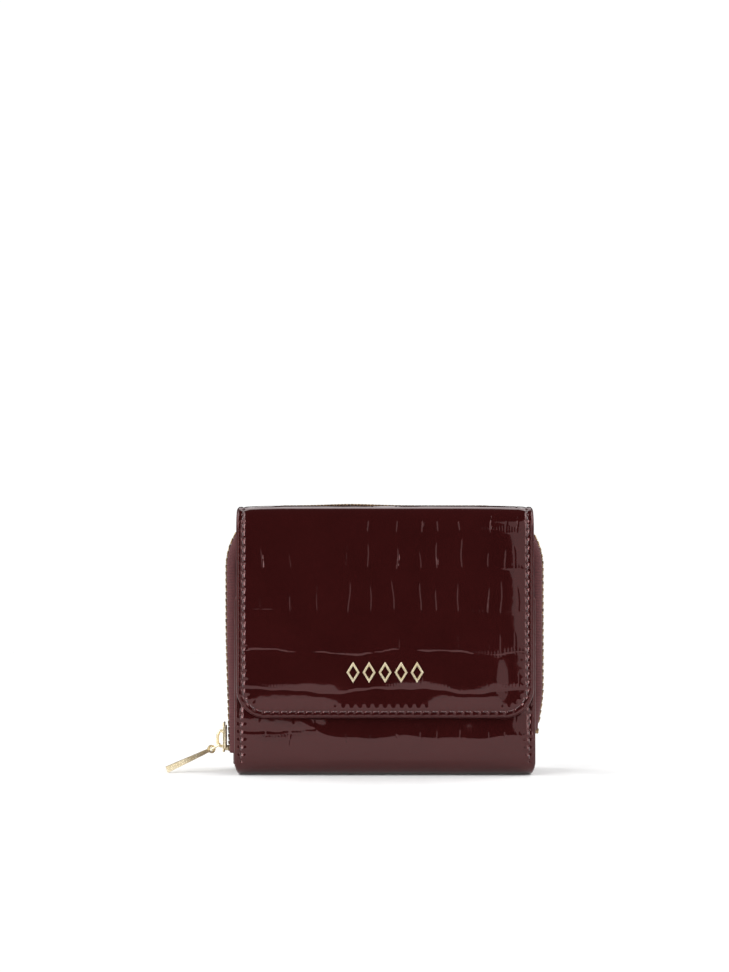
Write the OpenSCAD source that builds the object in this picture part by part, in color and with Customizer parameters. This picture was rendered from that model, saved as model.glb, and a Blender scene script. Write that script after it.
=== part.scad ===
// Compact trifold wallet with a zip-around coin pouch, standing on its bottom fold.
// Millimetres. +Z is up, the front (flap) faces -Y, +X is to the right.
// The origin is on the surface the wallet stands on, under the middle of its width.

/* [Body] */
// Width of the front panel and of the pouch walls
body_w = 106; // [100:1:112]
// Width of the flap and of the leather over the top fold
flap_w = 104.4; // [98:0.1:106]
// Plane of the flap's outer face, in front of the origin
front_y = -15; // [-17:0.5:-14]
// Plane of the pouch's back face, behind the origin
back_y = 15; // [14:0.5:18]
// Height of the free lower edge of the flap
flap_low_z = 20.5; // [16:0.5:30]
// Height of the front panel's upper edge
panel_top_z = 64; // [56:1:64]
// Highest point of the fold over the top
fold_top_z = 94.5; // [90:0.5:100]

/* [Leather and boards] */
// Thickness of the outer leather
leather_t = 1.2; // [1:0.1:1.4]
// Thickness of linings and pocket walls
lining_t = 0.6; // [0.4:0.1:0.8]
// Thickness of the stiffener in the flap
flap_board_t = 0.8; // [0.5:0.1:1]
// Play left for cards in each pocket
pocket_play = 0.3; // [0.2:0.05:0.5]
// Radius of the flap's lower corners
flap_corner_r = 10.5; // [6:0.5:14]
// Outer radius of the fold between the bottom and the front panel
front_fold_r = 8; // [6:0.5:9]
// Outer radius of the fold between the bottom and the pouch's back
rear_fold_r = 4; // [3:0.5:5]

/* [Zip] */
// Distance between the outer faces of the two side runs of zip tape
zip_w = 114.6; // [112:0.2:118]
// Height of the top run of zip tape
zip_top_z = 94.3; // [92:0.1:96]
// Radius of the zip round the pouch's upper corners
zip_corner_r = 22; // [18:1:26]
// Middle plane of the closed zip, behind the origin
zip_y = 7.6; // [7:0.1:8.4]
// Pitch of the teeth on one row
tooth_pitch = 2.43; // [2.3:0.01:2.6]
// Width of one tooth along the zip
tooth_w = 0.95; // [0.8:0.01:1]
// Length of the slider
slider_l = 10.5; // [9:0.5:12]

/* [Puller] */
// Length of the puller bar from the middle of its eye to its free end
bar_l = 18.8; // [14:0.2:24]
// Width of the bar's free end
bar_end_w = 2.2; // [1.6:0.1:3]
// Angle of the bar towards the front
bar_yaw = 31; // [10:1:35]

/* [Stitching] */
// Pitch of the stitches on the flap
flap_pitch = 2.93; // [2.5:0.01:3.2]
// Pitch of the stitches on the front panel and on the pouch's back
panel_pitch = 2.7; // [2.4:0.01:3.2]
// Distance of a stitch line from the edge
stitch_inset = 2.4; // [2:0.1:4]

/* [Snap and emblem] */
// Height of the magnetic snap
snap_z = 31; // [28:0.5:45]
// Height of the middle of the emblem
emblem_z = 36.7; // [34:0.1:60]
// Number of lozenges in the emblem
emblem_count = 5; // [3:1:7]

/* [Hidden] */
$fn = 48;
eps = 0.01;

// Layers of the flap, from the front backwards
flap_board_y = front_y + leather_t;
flap_lining_y = flap_board_y + flap_board_t;
flap_back_y = flap_lining_y + lining_t;
// Layers of the front panel
flap_gap = 1.1;
panel_y = flap_back_y + flap_gap;
panel_board_y = panel_y + leather_t;
panel_lining_y = panel_board_y + lining_t;
panel_pocket_y = panel_lining_y + lining_t;
pocket_t = lining_t + pocket_play;
board_inset = 4;
// Height of the panel's pockets and of its first stitch above the fold
panel_rise = 1.5;
panel_pocket_tops = [56, 46];
panel_pocket_w = body_w - 4;
// Layers of the centre wall
wall_y = 0;
anchor_y = wall_y - leather_t / 2;
anchor_low_z = 62;
centre_lining_y = anchor_y - lining_t;
note_pocket_w = flap_w - 1.4;
note_pocket_z = 80;
card_pocket_w = flap_w - 4.4;
card_pockets = 3;
// The lowest card pocket, and how far each of the others stands above the one in front of it
card_low_z = 2;
card_high_z = 50;
card_low_step = 7;
card_high_step = 10;
pouch_wall_t = 1;
pouch_wall_y = wall_y + leather_t / 2;
pouch_lining_y = pouch_wall_y + pouch_wall_t;
// Layers of the pouch's back
back_leather_y = back_y - leather_t;
back_board_y = back_leather_y - lining_t;
back_lining_y = back_board_y - lining_t;
wall_inset = 3.8;
lining_inset = 5.2;
floor_z = leather_t + lining_t;
// How far a lining stops short of the leather's edge
lining_edge = 0.4;

// Top fold: a half circle of leather from the centre wall to the flap
fold_y = (wall_y + front_y + leather_t / 2) / 2;
fold_r = wall_y - fold_y + leather_t / 2;
fold_z = fold_top_z - fold_r;
fold_root_end = 30;
fold_spine_start = 38;
lining_gap = 0.1;
lining_start = 46;
spine_lining_w = flap_w - 1;
// Bottom folds: centres of the front and the rear arcs
front_arc_y = panel_y + front_fold_r;
rear_arc_y = back_y - rear_fold_r;
arc_piece = 30;
bottom_lining_w = body_w - 2;

// Zip: half width of the path, and where its straight side runs stop
zip_half = zip_w / 2;
zip_bend_z = zip_top_z - zip_corner_r;
zip_top_half = zip_half - zip_corner_r;
zip_left_z = 6.5;
zip_right_z = 14;
teeth_left_z = 9.9;
split_z = 20.2;
tape_t = 0.6;
tape_bend_n = 3.9;
tape_bend_y = 2.5;
tape_edge = 0.7;
jaw_reach = 1.85;
head_reach = 0.45;
tooth_low_n = -1.2;
tooth_high_n = 0.6;
arc_len = zip_corner_r * PI / 2;
side_len = zip_bend_z - teeth_left_z;
right_len = zip_bend_z - zip_right_z;
zip_len = side_len + 2 * arc_len + 2 * zip_top_half + right_len;
teeth_n = floor(zip_len / tooth_pitch);
end_teeth_n = 4;
// Free edge of the short piece of back tape, and the cut between it and the rest
end_tape_y = 4.4;
tape_cut = 0.3;
// Stops: height of a top stop, of the bottom stop, and their gaps to the tape's end
stop_h = 2;
stop_gap = 0.3;
stop_grip = 0.25;
bottom_stop_h = 1.9;
// Leather tabs over the tape's ends
tab_in_x = 52.3;
tab_slant = [1.1, 0.6];
tab_out_inset = 1.4;
tab_half_y = 2.4;
tab_left_z = 2.4;
tab_right_z = 8.4;
tab_left_gap = 0.2;
tab_right_gap = 2.4;
// Gussets
gusset_out_x = 50;
gusset_in_x = 46.5;
gusset_t = 0.4;
gusset_h = 60;

// Slider and puller
slider_half_y = 3.3;
plate_t = 0.8;
plate_n = 0.8;
inner_plate_n = -1.4;
flange_t = 0.9;
slot_play = 0.25;
post_w = 0.8;
post_z = 0.4;
post_h = 1.8;
bail_out = 1.7;
bail_wire = 0.7;
bail_half_y = 0.6;
bail_low_z = 7.8;
bail_high_z = 13.8;
link_wire = 0.7;
link_half_y = 2;
link_l = 3.3;
link_dip = 30;
link_x = -(zip_half + plate_n + plate_t + (bail_out - bail_wire) / 2);
link_z = bail_low_z + bail_wire + link_wire / 2 + 0.1;
eye_x = link_x - link_l * cos(link_dip);
eye_z = link_z - link_l * sin(link_dip);
eye_r = 1.5;
eye_hole_r = 0.85;
bar_t = 0.9;
bar_root_w = 1.2;
// The dip at which the lower corner of the bar's free end meets the surface
bar_dip = asin(eye_z / norm([bar_l, bar_end_w / 2])) - atan(bar_end_w / 2 / bar_l);

// Stitches
thread_t = 0.25;
thread_w = 0.55;
thread_l = 2.1;

// Snap
case_r = 6;
case_wall = 0.2;
socket_r = 2.8;
stud_r = 2.3;
stud_disc_r = 5.5;
stud_disc_t = 0.8;
stud_l = 1.2;
stem_r = 1.5;
washer_r = 7.5;
washer_t = 0.5;
stud_washer_t = 0.3;
play = 0.1;

// Emblem
lozenge_w = 4.6;
lozenge_h = 7.4;
lozenge_pitch = 5.6;
lozenge_t = 0.8;
stroke = 0.75;
// Share of a lozenge that is open, so that its four bars are one stroke wide
lozenge_hole = 1 - 2 * stroke * norm([lozenge_w, lozenge_h]) / (lozenge_w * lozenge_h);

croc = "#4a1315";
smooth = "#5a1c20";
fabric = "#3a1216";
tape = "#6d3238";
board = "#8a7a66";
thread = "#6b1f24";
gold = "#d8bf86";
steel = "#a9a9a9";

// ---- Shared shapes ----

// A plate of thickness t behind plane y0, cut from an outline drawn in X and Z.
module plate(y0, t) {
    translate([0, y0 + t, 0]) rotate([90, 0, 0]) linear_extrude(t) children();
}

// Leather bent round a line along X through (y, z), starting at angle a0 above +Y and turning
// by turn. Its outer radius is r.
module bent(y, z, r, t, a0, turn, w) {
    translate([-w / 2, y, z]) rotate([90, 0, 90]) rotate([0, 0, a0])
        rotate_extrude(angle = turn) translate([r - t, 0]) square([t, w]);
}

// Outline from z0 to z1, w wide, with its lower corners rounded by r.
module low_rounded(w, z0, z1, r) {
    translate([-w / 2, z0 + r]) square([w, z1 - z0 - r]);
    translate([-w / 2 + r, z0]) square([w - 2 * r, r + eps]);
    for (s = [-1, 1]) translate([s * (w / 2 - r), z0 + r]) circle(r);
}

// The pouch's outline, drawn in by inset, from z0 up.
module pouch_outline(inset, z0) {
    w = zip_half - inset;
    r = zip_corner_r - inset;
    translate([-w, z0]) square([2 * w, zip_bend_z - z0]);
    translate([r - w, z0]) square([2 * (w - r), zip_bend_z + r - z0]);
    for (s = [-1, 1]) translate([s * (w - r), zip_bend_z]) circle(r);
}

// Round disc or ring facing -Y, from y0 to y0 + t.
module disc(x, z, y0, t, r) {
    translate([x, y0 + t, z]) rotate([90, 0, 0]) cylinder(h = t, r = r);
}

// Pocket wall with its turned-in sides and bottom, open at the top. The play for the cards is
// behind the wall, or in front of it where play_behind is false.
module pocket(w, y0, z0, z1, play_behind = true) {
    rim = 2.5;
    play_y = play_behind ? lining_t : -eps;
    difference() {
        translate([-w / 2, y0, z0]) cube([w, pocket_t, z1 - z0]);
        translate([rim - w / 2, y0 + play_y, z0 + rim])
            cube([w - 2 * rim, pocket_play + eps, z1 - z0]);
    }
}

// ---- Flap ----

module flap_outline(inset) {
    low_rounded(flap_w - 2 * inset, flap_low_z + inset, fold_z, flap_corner_r - inset);
}

module flap_leather() color(croc) {
    plate(front_y, leather_t) flap_outline(0);
    bent(fold_y, fold_z, fold_r, leather_t, 180, -fold_root_end, flap_w);
}

module flap_stiffener() color(board) difference() {
    plate(flap_board_y, flap_board_t) flap_outline(board_inset);
    disc(0, snap_z, flap_board_y - eps, flap_board_t + 2 * eps, washer_r + play);
}

module flap_lining() color(smooth) difference() {
    plate(flap_lining_y, lining_t) flap_outline(0);
    disc(0, snap_z, flap_lining_y - eps, lining_t + 2 * eps, case_r + play);
}

// Places along the flap's stitch line: down the left side, along the bottom and up the right.
flap_side = fold_z - flap_low_z - flap_corner_r - 1;
flap_arc_r = flap_corner_r - stitch_inset;
flap_arc = flap_arc_r * PI / 2;
flap_bottom = flap_w - 2 * flap_corner_r;
flap_half_line = flap_side + flap_arc + flap_bottom / 2;

// [x, z, angle] of a stitch at distance s from the middle of the lower edge.
function flap_stitch(s) =
    let (a = abs(s), d = s < 0 ? -1 : 1, low = flap_low_z + stitch_inset,
         edge = flap_w / 2 - stitch_inset, turn = (a - flap_bottom / 2) / flap_arc * 90)
    a < flap_bottom / 2 ? [s, low, 0]
    : a < flap_bottom / 2 + flap_arc
      ? [d * (flap_bottom / 2 + flap_arc_r * sin(turn)),
         low + flap_arc_r * (1 - cos(turn)), d * turn]
      : [d * edge, low + a - flap_bottom / 2 - flap_arc + flap_arc_r, 90];

module stitch(place, y0) {
    translate([place[0], y0, place[1]]) rotate([0, -place[2], 0])
        translate([-thread_l / 2, 0, -thread_w / 2]) cube([thread_l, thread_t, thread_w]);
}

module flap_stitching() color(thread) {
    n = floor(flap_half_line / flap_pitch);
    for (i = [-n:n]) stitch(flap_stitch(i * flap_pitch), front_y - thread_t);
}

module lozenge(w, h) {
    polygon([[-w / 2, 0], [0, -h / 2], [w / 2, 0], [0, h / 2]]);
}

module emblem() color(gold) {
    for (i = [0:emblem_count - 1])
        translate([(i - (emblem_count - 1) / 2) * lozenge_pitch, 0, emblem_z])
            plate(front_y - lozenge_t, lozenge_t) difference() {
                lozenge(lozenge_w, lozenge_h);
                lozenge(lozenge_w * lozenge_hole, lozenge_h * lozenge_hole);
            }
}

// ---- Magnetic snap ----

module snap_case() color(gold) {
    t = flap_board_t + lining_t;
    difference() {
        disc(0, snap_z, flap_board_y, t, case_r);
        disc(0, snap_z, flap_board_y + case_wall, t - 2 * case_wall, case_r - case_wall);
        disc(0, snap_z, flap_board_y + case_wall, t, socket_r);
    }
}

module snap_magnet() color(steel) {
    t = flap_board_t + lining_t - 2 * case_wall;
    difference() {
        disc(0, snap_z, flap_board_y + case_wall, t, case_r - case_wall);
        disc(0, snap_z, flap_board_y + case_wall - eps, t + 2 * eps, socket_r);
    }
}

module snap_case_washer() color(steel) difference() {
    disc(0, snap_z, flap_board_y, washer_t, washer_r);
    disc(0, snap_z, flap_board_y - eps, washer_t + 2 * eps, case_r + play);
}

module snap_stud() color(gold) {
    disc(0, snap_z, panel_y - stud_disc_t, stud_disc_t, stud_disc_r);
    disc(0, snap_z, panel_y - stud_disc_t - stud_l, stud_l, stud_r);
    disc(0, snap_z, panel_y, leather_t + stud_washer_t, stem_r);
}

module snap_stud_washer() color(steel) difference() {
    disc(0, snap_z, panel_board_y, stud_washer_t, case_r);
    disc(0, snap_z, panel_board_y - eps, stud_washer_t + 2 * eps, stem_r);
}

// ---- Top fold ----

module top_spine_leather() color(croc)
    bent(fold_y, fold_z, fold_r, leather_t, fold_spine_start, 180 - 2 * fold_spine_start, flap_w);

module top_spine_lining() color(smooth)
    bent(fold_y, fold_z, fold_r - leather_t - lining_gap, lining_t,
         lining_start, 180 - 2 * lining_start, spine_lining_w);

module flap_anchor() color(croc) {
    translate([-flap_w / 2, anchor_y, anchor_low_z])
        cube([flap_w, leather_t, fold_z - anchor_low_z]);
    bent(fold_y, fold_z, fold_r, leather_t, 0, fold_root_end, flap_w);
}

// ---- Centre wall and its pockets ----

module centre_board() color(board)
    translate([-flap_w / 2, anchor_y, floor_z])
        cube([flap_w, leather_t, anchor_low_z - floor_z]);

module centre_lining() color(smooth)
    translate([-flap_w / 2, centre_lining_y, floor_z])
        cube([flap_w, lining_t, fold_z - floor_z]);

module note_pocket() color(fabric)
    pocket(note_pocket_w, centre_lining_y - pocket_t, floor_z + lining_edge, note_pocket_z);

// Card pocket k, 1 at the back with the highest mouth.
module card_pocket(k) {
    up = card_pockets - k;
    color(smooth) pocket(card_pocket_w, centre_lining_y - (k + 1) * pocket_t,
                         card_low_z + up * card_low_step, card_high_z + up * card_high_step);
}

module card_pocket_1() card_pocket(1);
module card_pocket_2() card_pocket(2);
module card_pocket_3() card_pocket(3);

// ---- Bottom ----

module bottom_spine_leather() color(croc) {
    translate([-body_w / 2, front_arc_y, 0]) cube([body_w, rear_arc_y - front_arc_y, leather_t]);
    bent(front_arc_y, front_fold_r, front_fold_r, leather_t, 270, -arc_piece, body_w);
    bent(rear_arc_y, rear_fold_r, rear_fold_r, leather_t, 270, arc_piece, body_w);
}

module bottom_spine_lining() color(fabric)
    translate([-bottom_lining_w / 2, front_arc_y, leather_t])
        cube([bottom_lining_w, rear_arc_y - front_arc_y, lining_t]);

// ---- Front panel ----

module front_panel_leather() color(croc) difference() {
    union() {
        translate([-body_w / 2, panel_y, front_fold_r])
            cube([body_w, leather_t, panel_top_z - front_fold_r]);
        bent(front_arc_y, front_fold_r, front_fold_r, leather_t, 180, arc_piece, body_w);
    }
    disc(0, snap_z, panel_y - eps, leather_t + 2 * eps, stem_r);
}

module front_panel_stiffener() color(board) difference() {
    translate([board_inset - body_w / 2, panel_board_y, front_fold_r + board_inset / 2])
        cube([body_w - 2 * board_inset, lining_t, panel_top_z - front_fold_r - 1.5 * board_inset]);
    disc(0, snap_z, panel_board_y - eps, lining_t + 2 * eps, case_r + play);
}

module front_panel_lining() color(smooth)
    translate([-body_w / 2, panel_lining_y, front_fold_r])
        cube([body_w, lining_t, panel_top_z - front_fold_r]);

module panel_pocket_1() color(smooth)
    pocket(panel_pocket_w, panel_pocket_y, front_fold_r + panel_rise, panel_pocket_tops[0], false);

module panel_pocket_2() color(smooth)
    pocket(panel_pocket_w, panel_pocket_y + pocket_t, front_fold_r + panel_rise,
           panel_pocket_tops[1], false);

module front_panel_stitching() color(thread) {
    edge = body_w / 2 - stitch_inset;
    first_z = front_fold_r + panel_rise;
    n = floor((panel_top_z - stitch_inset - first_z) / panel_pitch);
    for (s = [-1, 1], i = [0:n])
        stitch([s * edge, first_z + i * panel_pitch, 90], panel_y - thread_t);
}

// ---- Coin pouch ----

module pouch_front_wall() color(smooth)
    plate(pouch_wall_y, pouch_wall_t) pouch_outline(wall_inset, floor_z);

module pouch_front_lining() color(fabric)
    plate(pouch_lining_y, lining_t) pouch_outline(lining_inset, floor_z + lining_edge);

module pouch_back_leather() color(croc) {
    plate(back_leather_y, leather_t) pouch_outline(wall_inset, rear_fold_r);
    bent(rear_arc_y, rear_fold_r, rear_fold_r, leather_t, 0, -arc_piece,
         2 * (zip_half - wall_inset));
}

module pouch_back_stiffener() color(board)
    plate(back_board_y, lining_t) pouch_outline(lining_inset, rear_fold_r + 1);

module pouch_back_lining() color(fabric)
    plate(back_lining_y, lining_t) pouch_outline(lining_inset, rear_fold_r);

// [x, z, angle] at distance s along the pouch's back stitch line from its top middle.
function back_stitch(s) =
    let (a = abs(s), d = s < 0 ? -1 : 1, inset = wall_inset + stitch_inset,
         r = zip_corner_r - inset, arc = r * PI / 2, turn = (a - zip_top_half) / arc * 90)
    a < zip_top_half ? [s, zip_top_z - inset, 0]
    : a < zip_top_half + arc
      ? [d * (zip_top_half + r * sin(turn)), zip_bend_z + r * cos(turn), -d * turn]
      : [d * (zip_half - inset), zip_bend_z - (a - zip_top_half - arc), 90];

module pouch_back_stitching() color(thread) {
    r = zip_corner_r - wall_inset - stitch_inset;
    n = floor((zip_top_half + r * PI / 2 + zip_bend_z - 2 * rear_fold_r) / panel_pitch);
    for (i = [-n:n]) stitch(back_stitch(i * panel_pitch), back_y);
}

// Side gusset, folded inwards between the pouch's two walls.
module gusset(s) {
    y0 = pouch_lining_y + lining_t + play;
    y1 = back_lining_y - play;
    middle = (y0 + y1) / 2;
    out_x = gusset_out_x;
    in_x = gusset_in_x;
    t = gusset_t;
    color(fabric) translate([0, 0, floor_z + 1]) linear_extrude(gusset_h)
        polygon([[s * out_x, y0], [s * (in_x + t), middle], [s * out_x, y1],
                 [s * (out_x - t), y1], [s * (in_x - t), middle], [s * (out_x - t), y0]]);
}

module gusset_left() gusset(-1);
module gusset_right() gusset(1);

// ---- Zip ----

// One tape's section: n outwards from the path in X, Y towards the chain. The front tape is drawn,
// from its flange on the pouch's wall, round an elliptic bend, to the edge that the teeth grip.
tape_steps = 6;
function tape_bend(a, b) =
    [for (i = [0:tape_steps]) let (t = 90 * i / tape_steps)
        [-tape_bend_n + a * sin(t), pouch_lining_y + tape_bend_y - b * cos(t)]];

module tape_section() {
    outer = tape_bend(tape_bend_n, tape_bend_y);
    inner = tape_bend(tape_bend_n - tape_t, tape_bend_y - tape_t);
    edge_y = zip_y - tape_edge;
    polygon(concat([[-lining_inset, pouch_lining_y]], outer, [[0, edge_y], [-tape_t, edge_y]],
                   [for (i = [tape_steps:-1:0]) inner[i]],
                   [[-lining_inset, pouch_lining_y + tape_t]]));
}

// Straight side run of a section from z0 to z1: the right one where s is 1, the left where it is -1.
module side_run(s, z0, z1) {
    if (s > 0) translate([zip_half, 0, z0]) linear_extrude(z1 - z0) children();
    else mirror([1, 0, 0]) translate([zip_half, 0, z0]) linear_extrude(z1 - z0) children();
}

module corner_run() {
    translate([zip_top_half, 0, zip_bend_z]) rotate([90, 0, 0])
        rotate_extrude(angle = 90) mirror([0, 1, 0]) translate([zip_corner_r, 0]) children();
}

module top_run() {
    translate([0, 0, zip_top_z]) rotate([0, -90, 0])
        linear_extrude(2 * zip_top_half, center = true) children();
}

// The whole run of a section round the pouch, starting at left_z on the left.
module zip_run(left_z) {
    side_run(-1, left_z, zip_bend_z) children();
    mirror([1, 0, 0]) corner_run() children();
    top_run() children();
    corner_run() children();
    side_run(1, zip_right_z, zip_bend_z) children();
}

// Mirrors a section or a solid about the closed zip's middle plane.
module other_row() {
    translate([0, zip_y, 0]) mirror([0, 1, 0]) translate([0, -zip_y, 0]) children();
}

module zip_tape_front() color(tape) zip_run(zip_left_z) tape_section();

module zip_tape_back() color(tape) zip_run(split_z) other_row() tape_section();

// The back tape beside the slider's closed place, held by the slider.
module zip_tape_back_end() color(tape)
    side_run(-1, zip_left_z, split_z - tape_cut) other_row() translate([-tape_t, end_tape_y])
        square([tape_t, zip_y - tape_edge - end_tape_y]);

// One tooth's section: two jaws on the tape and a head that reaches past the middle plane.
module tooth_section() {
    y0 = zip_y - jaw_reach;
    y1 = zip_y - tape_edge;
    y2 = zip_y + head_reach;
    lo = tooth_low_n;
    hi = tooth_high_n;
    polygon([[lo, y0], [lo, y2], [hi, y2], [hi, y0], [0, y0], [0, y1], [-tape_t, y1], [-tape_t, y0]]);
}

// Places one tooth at distance s along the path from the lowest tooth on the left.
module at_zip(s) {
    a1 = side_len;
    a2 = a1 + arc_len;
    a3 = a2 + 2 * zip_top_half;
    a4 = a3 + arc_len;
    turn = s < a1 ? 0 : s < a2 ? (s - a1) / arc_len * 90 : s < a3 ? 90
         : s < a4 ? 90 + (s - a3) / arc_len * 90 : 180;
    on_arc = (s >= a1 && s < a2) || (s >= a3 && s < a4);
    centre = s < a2 ? -zip_top_half : zip_top_half;
    x = s < a1 ? -zip_half : on_arc ? centre - zip_corner_r * cos(turn)
      : s < a3 ? -zip_top_half + s - a2 : zip_half;
    z = s < a1 ? teeth_left_z + s : on_arc ? zip_bend_z + zip_corner_r * sin(turn)
      : s < a3 ? zip_top_z : zip_bend_z - (s - a4);
    translate([x, 0, z]) rotate([0, turn + 180, 0])
        linear_extrude(tooth_w, center = true) children();
}

module zip_teeth_front() color(gold)
    for (i = [0:teeth_n - 1]) at_zip(i * tooth_pitch) tooth_section();

module zip_teeth_back() color(gold)
    for (i = [end_teeth_n:teeth_n - 1]) at_zip((i + 0.5) * tooth_pitch) other_row() tooth_section();

module zip_teeth_back_end() color(gold)
    for (i = [0:end_teeth_n - 1]) at_zip((i + 0.5) * tooth_pitch) other_row() tooth_section();

// A stop is a plain clamp on the tape's edge without a head.
module stop_section() {
    y0 = zip_y - jaw_reach;
    y1 = zip_y - tape_edge;
    y2 = y1 + stop_grip;
    lo = tooth_low_n;
    hi = tooth_high_n;
    polygon([[lo, y0], [lo, y2], [hi, y2], [hi, y0], [0, y0], [0, y1], [-tape_t, y1], [-tape_t, y0]]);
}

module zip_top_stops() color(gold) {
    low = zip_left_z + stop_gap;
    side_run(-1, low, low + stop_h) stop_section();
    side_run(-1, low, low + stop_h) other_row() stop_section();
}

// The closed end's clip holds both rows just below the last teeth on the right.
module zip_bottom_stop() color(gold)
    translate([zip_half + tooth_low_n, zip_y - jaw_reach, zip_right_z - stop_gap - bottom_stop_h])
        cube([tooth_high_n - tooth_low_n, 2 * jaw_reach, bottom_stop_h]);

// Leather tab that closes the end of the tapes, slanted in towards the pouch's corner.
module end_tab(s, z0, z1) {
    depth = [pouch_lining_y + lining_t + play, zip_y + tab_half_y];
    in_x = tab_in_x;
    out_x = zip_half - tab_out_inset;
    color(smooth) translate([0, depth[1], 0]) rotate([90, 0, 0]) linear_extrude(depth[1] - depth[0])
        polygon([[s * in_x, z0], [s * (in_x + tab_slant[0]), z0 + tab_slant[1]],
                 [s * out_x, z1], [s * in_x, z1]]);
}

module zip_end_tab_left() end_tab(-1, tab_left_z, zip_left_z - tab_left_gap);
module zip_end_tab_right() end_tab(1, tab_right_z, zip_right_z - tab_right_gap);

// ---- Slider and puller ----

// Section of the slider across the chain: two plates with flanges that leave a slot for each tape.
module slider_section() {
    h = slider_half_y;
    for (s = [-1, 1]) {
        translate([plate_n, zip_y - h]) square([plate_t, 2 * h]);
        translate([inner_plate_n - plate_t, zip_y - h]) square([plate_t, 2 * h]);
        translate([slot_play, zip_y + (s > 0 ? h - flange_t : -h)])
            square([plate_n - slot_play + eps, flange_t]);
        translate([inner_plate_n - eps, zip_y + (s > 0 ? h - flange_t : -h)])
            square([-tape_t - slot_play - inner_plate_n + eps, flange_t]);
    }
}

module slider_body() color(gold) {
    side_run(-1, zip_left_z, zip_left_z + slider_l) slider_section();
    side_run(-1, zip_left_z + post_z, zip_left_z + post_z + post_h)
        translate([inner_plate_n - eps, zip_y - post_w / 2])
            square([plate_n - inner_plate_n + 2 * eps, post_w]);
}

// Arched loop on the slider's outer plate that the puller hangs from.
module slider_bail() color(gold) {
    x1 = -(zip_half + plate_n + plate_t);
    x0 = x1 - bail_out;
    h = bail_high_z - bail_low_z;
    difference() {
        translate([x0, zip_y - bail_half_y, bail_low_z]) cube([bail_out, 2 * bail_half_y, h]);
        translate([x0 + bail_wire, zip_y - bail_half_y - eps, bail_low_z + bail_wire])
            cube([bail_out, 2 * (bail_half_y + eps), h - 2 * bail_wire]);
    }
}

// Ring through the bail and the bar's eye, lying in the plane of Y and its own length.
module puller_link() color(gold) {
    w = link_wire / 2;
    translate([link_x, zip_y, link_z]) rotate([0, 180 - link_dip, 0]) {
        for (s = [-1, 1]) translate([0, s * link_half_y, 0]) rotate([0, 90, 0])
            cylinder(h = link_l, r = w);
        for (x = [0, link_l]) translate([x, 0, 0]) rotate([90, 0, 0])
            cylinder(h = 2 * link_half_y, r = w, center = true);
        for (x = [0, link_l], s = [-1, 1]) translate([x, s * link_half_y, 0]) sphere(w);
    }
}

// Flat tapered bar with an eye, leaning down to the surface and towards the front.
module puller_bar() color(gold)
    translate([eye_x, zip_y, eye_z]) rotate([0, 0, bar_yaw]) rotate([0, 180 - bar_dip, 0])
        translate([0, bar_t / 2, 0]) rotate([90, 0, 0]) linear_extrude(bar_t) difference() {
            union() {
                circle(eye_r);
                polygon([[0, -bar_root_w / 2], [bar_l, -bar_end_w / 2],
                         [bar_l, bar_end_w / 2], [0, bar_root_w / 2]]);
            }
            circle(eye_hole_r);
        }

// ---- Nodes ----

flap_leather();
flap_stiffener();
flap_lining();
flap_stitching();
emblem();
snap_case();
snap_magnet();
snap_case_washer();
top_spine_leather();
top_spine_lining();
flap_anchor();
centre_board();
centre_lining();
note_pocket();
card_pocket_1();
card_pocket_2();
card_pocket_3();
bottom_spine_leather();
bottom_spine_lining();
front_panel_leather();
front_panel_stiffener();
front_panel_lining();
panel_pocket_1();
panel_pocket_2();
front_panel_stitching();
snap_stud();
snap_stud_washer();
pouch_front_wall();
pouch_front_lining();
gusset_left();
gusset_right();
pouch_back_leather();
pouch_back_stiffener();
pouch_back_lining();
pouch_back_stitching();
zip_tape_front();
zip_tape_back();
zip_tape_back_end();
zip_teeth_front();
zip_teeth_back();
zip_teeth_back_end();
zip_top_stops();
zip_bottom_stop();
zip_end_tab_left();
zip_end_tab_right();
slider_body();
slider_bail();
puller_link();
puller_bar();
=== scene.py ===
"""Looks of a compact patent-leather wallet with a zip-around coin pouch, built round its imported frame.

Every sheet of leather is drawn flat, in X across and S along a profile, and then bent along that profile.
"""
import logging
import math
from dataclasses import dataclass, field
from enum import Enum
from typing import Callable, Sequence

import bpy
import numpy as np
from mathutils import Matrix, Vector


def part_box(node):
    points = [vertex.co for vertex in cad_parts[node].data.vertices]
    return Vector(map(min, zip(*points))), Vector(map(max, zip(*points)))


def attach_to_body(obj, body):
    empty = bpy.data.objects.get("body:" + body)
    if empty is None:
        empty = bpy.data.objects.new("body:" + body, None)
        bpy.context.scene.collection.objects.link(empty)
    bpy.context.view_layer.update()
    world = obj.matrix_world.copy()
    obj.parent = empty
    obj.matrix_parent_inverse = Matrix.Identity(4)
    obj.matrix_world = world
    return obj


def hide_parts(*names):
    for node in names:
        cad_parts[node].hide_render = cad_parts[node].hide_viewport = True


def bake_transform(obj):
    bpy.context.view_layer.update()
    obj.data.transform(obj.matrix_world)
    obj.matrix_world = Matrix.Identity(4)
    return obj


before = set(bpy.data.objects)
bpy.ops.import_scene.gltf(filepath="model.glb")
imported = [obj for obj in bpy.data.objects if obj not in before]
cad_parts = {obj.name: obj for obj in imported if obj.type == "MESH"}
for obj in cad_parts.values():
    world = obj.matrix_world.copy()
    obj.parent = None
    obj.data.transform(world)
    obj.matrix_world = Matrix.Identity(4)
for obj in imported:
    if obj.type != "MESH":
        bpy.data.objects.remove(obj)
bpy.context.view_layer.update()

MM = 0.001
HIDE = 1.15 * MM  # depth of a hide's inner side below its outer face
SET_IN = 0.7 * MM  # how far a hide stays inside its painted edge
HALF_TURN = np.linspace(-math.pi / 2, math.pi / 2, 13)  # angles round a painted edge
LOG = logging.getLogger("wallet")
Heights = Callable[[np.ndarray, np.ndarray], np.ndarray]


# ---- Mesh work shared by every sub-assembly ----


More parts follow.
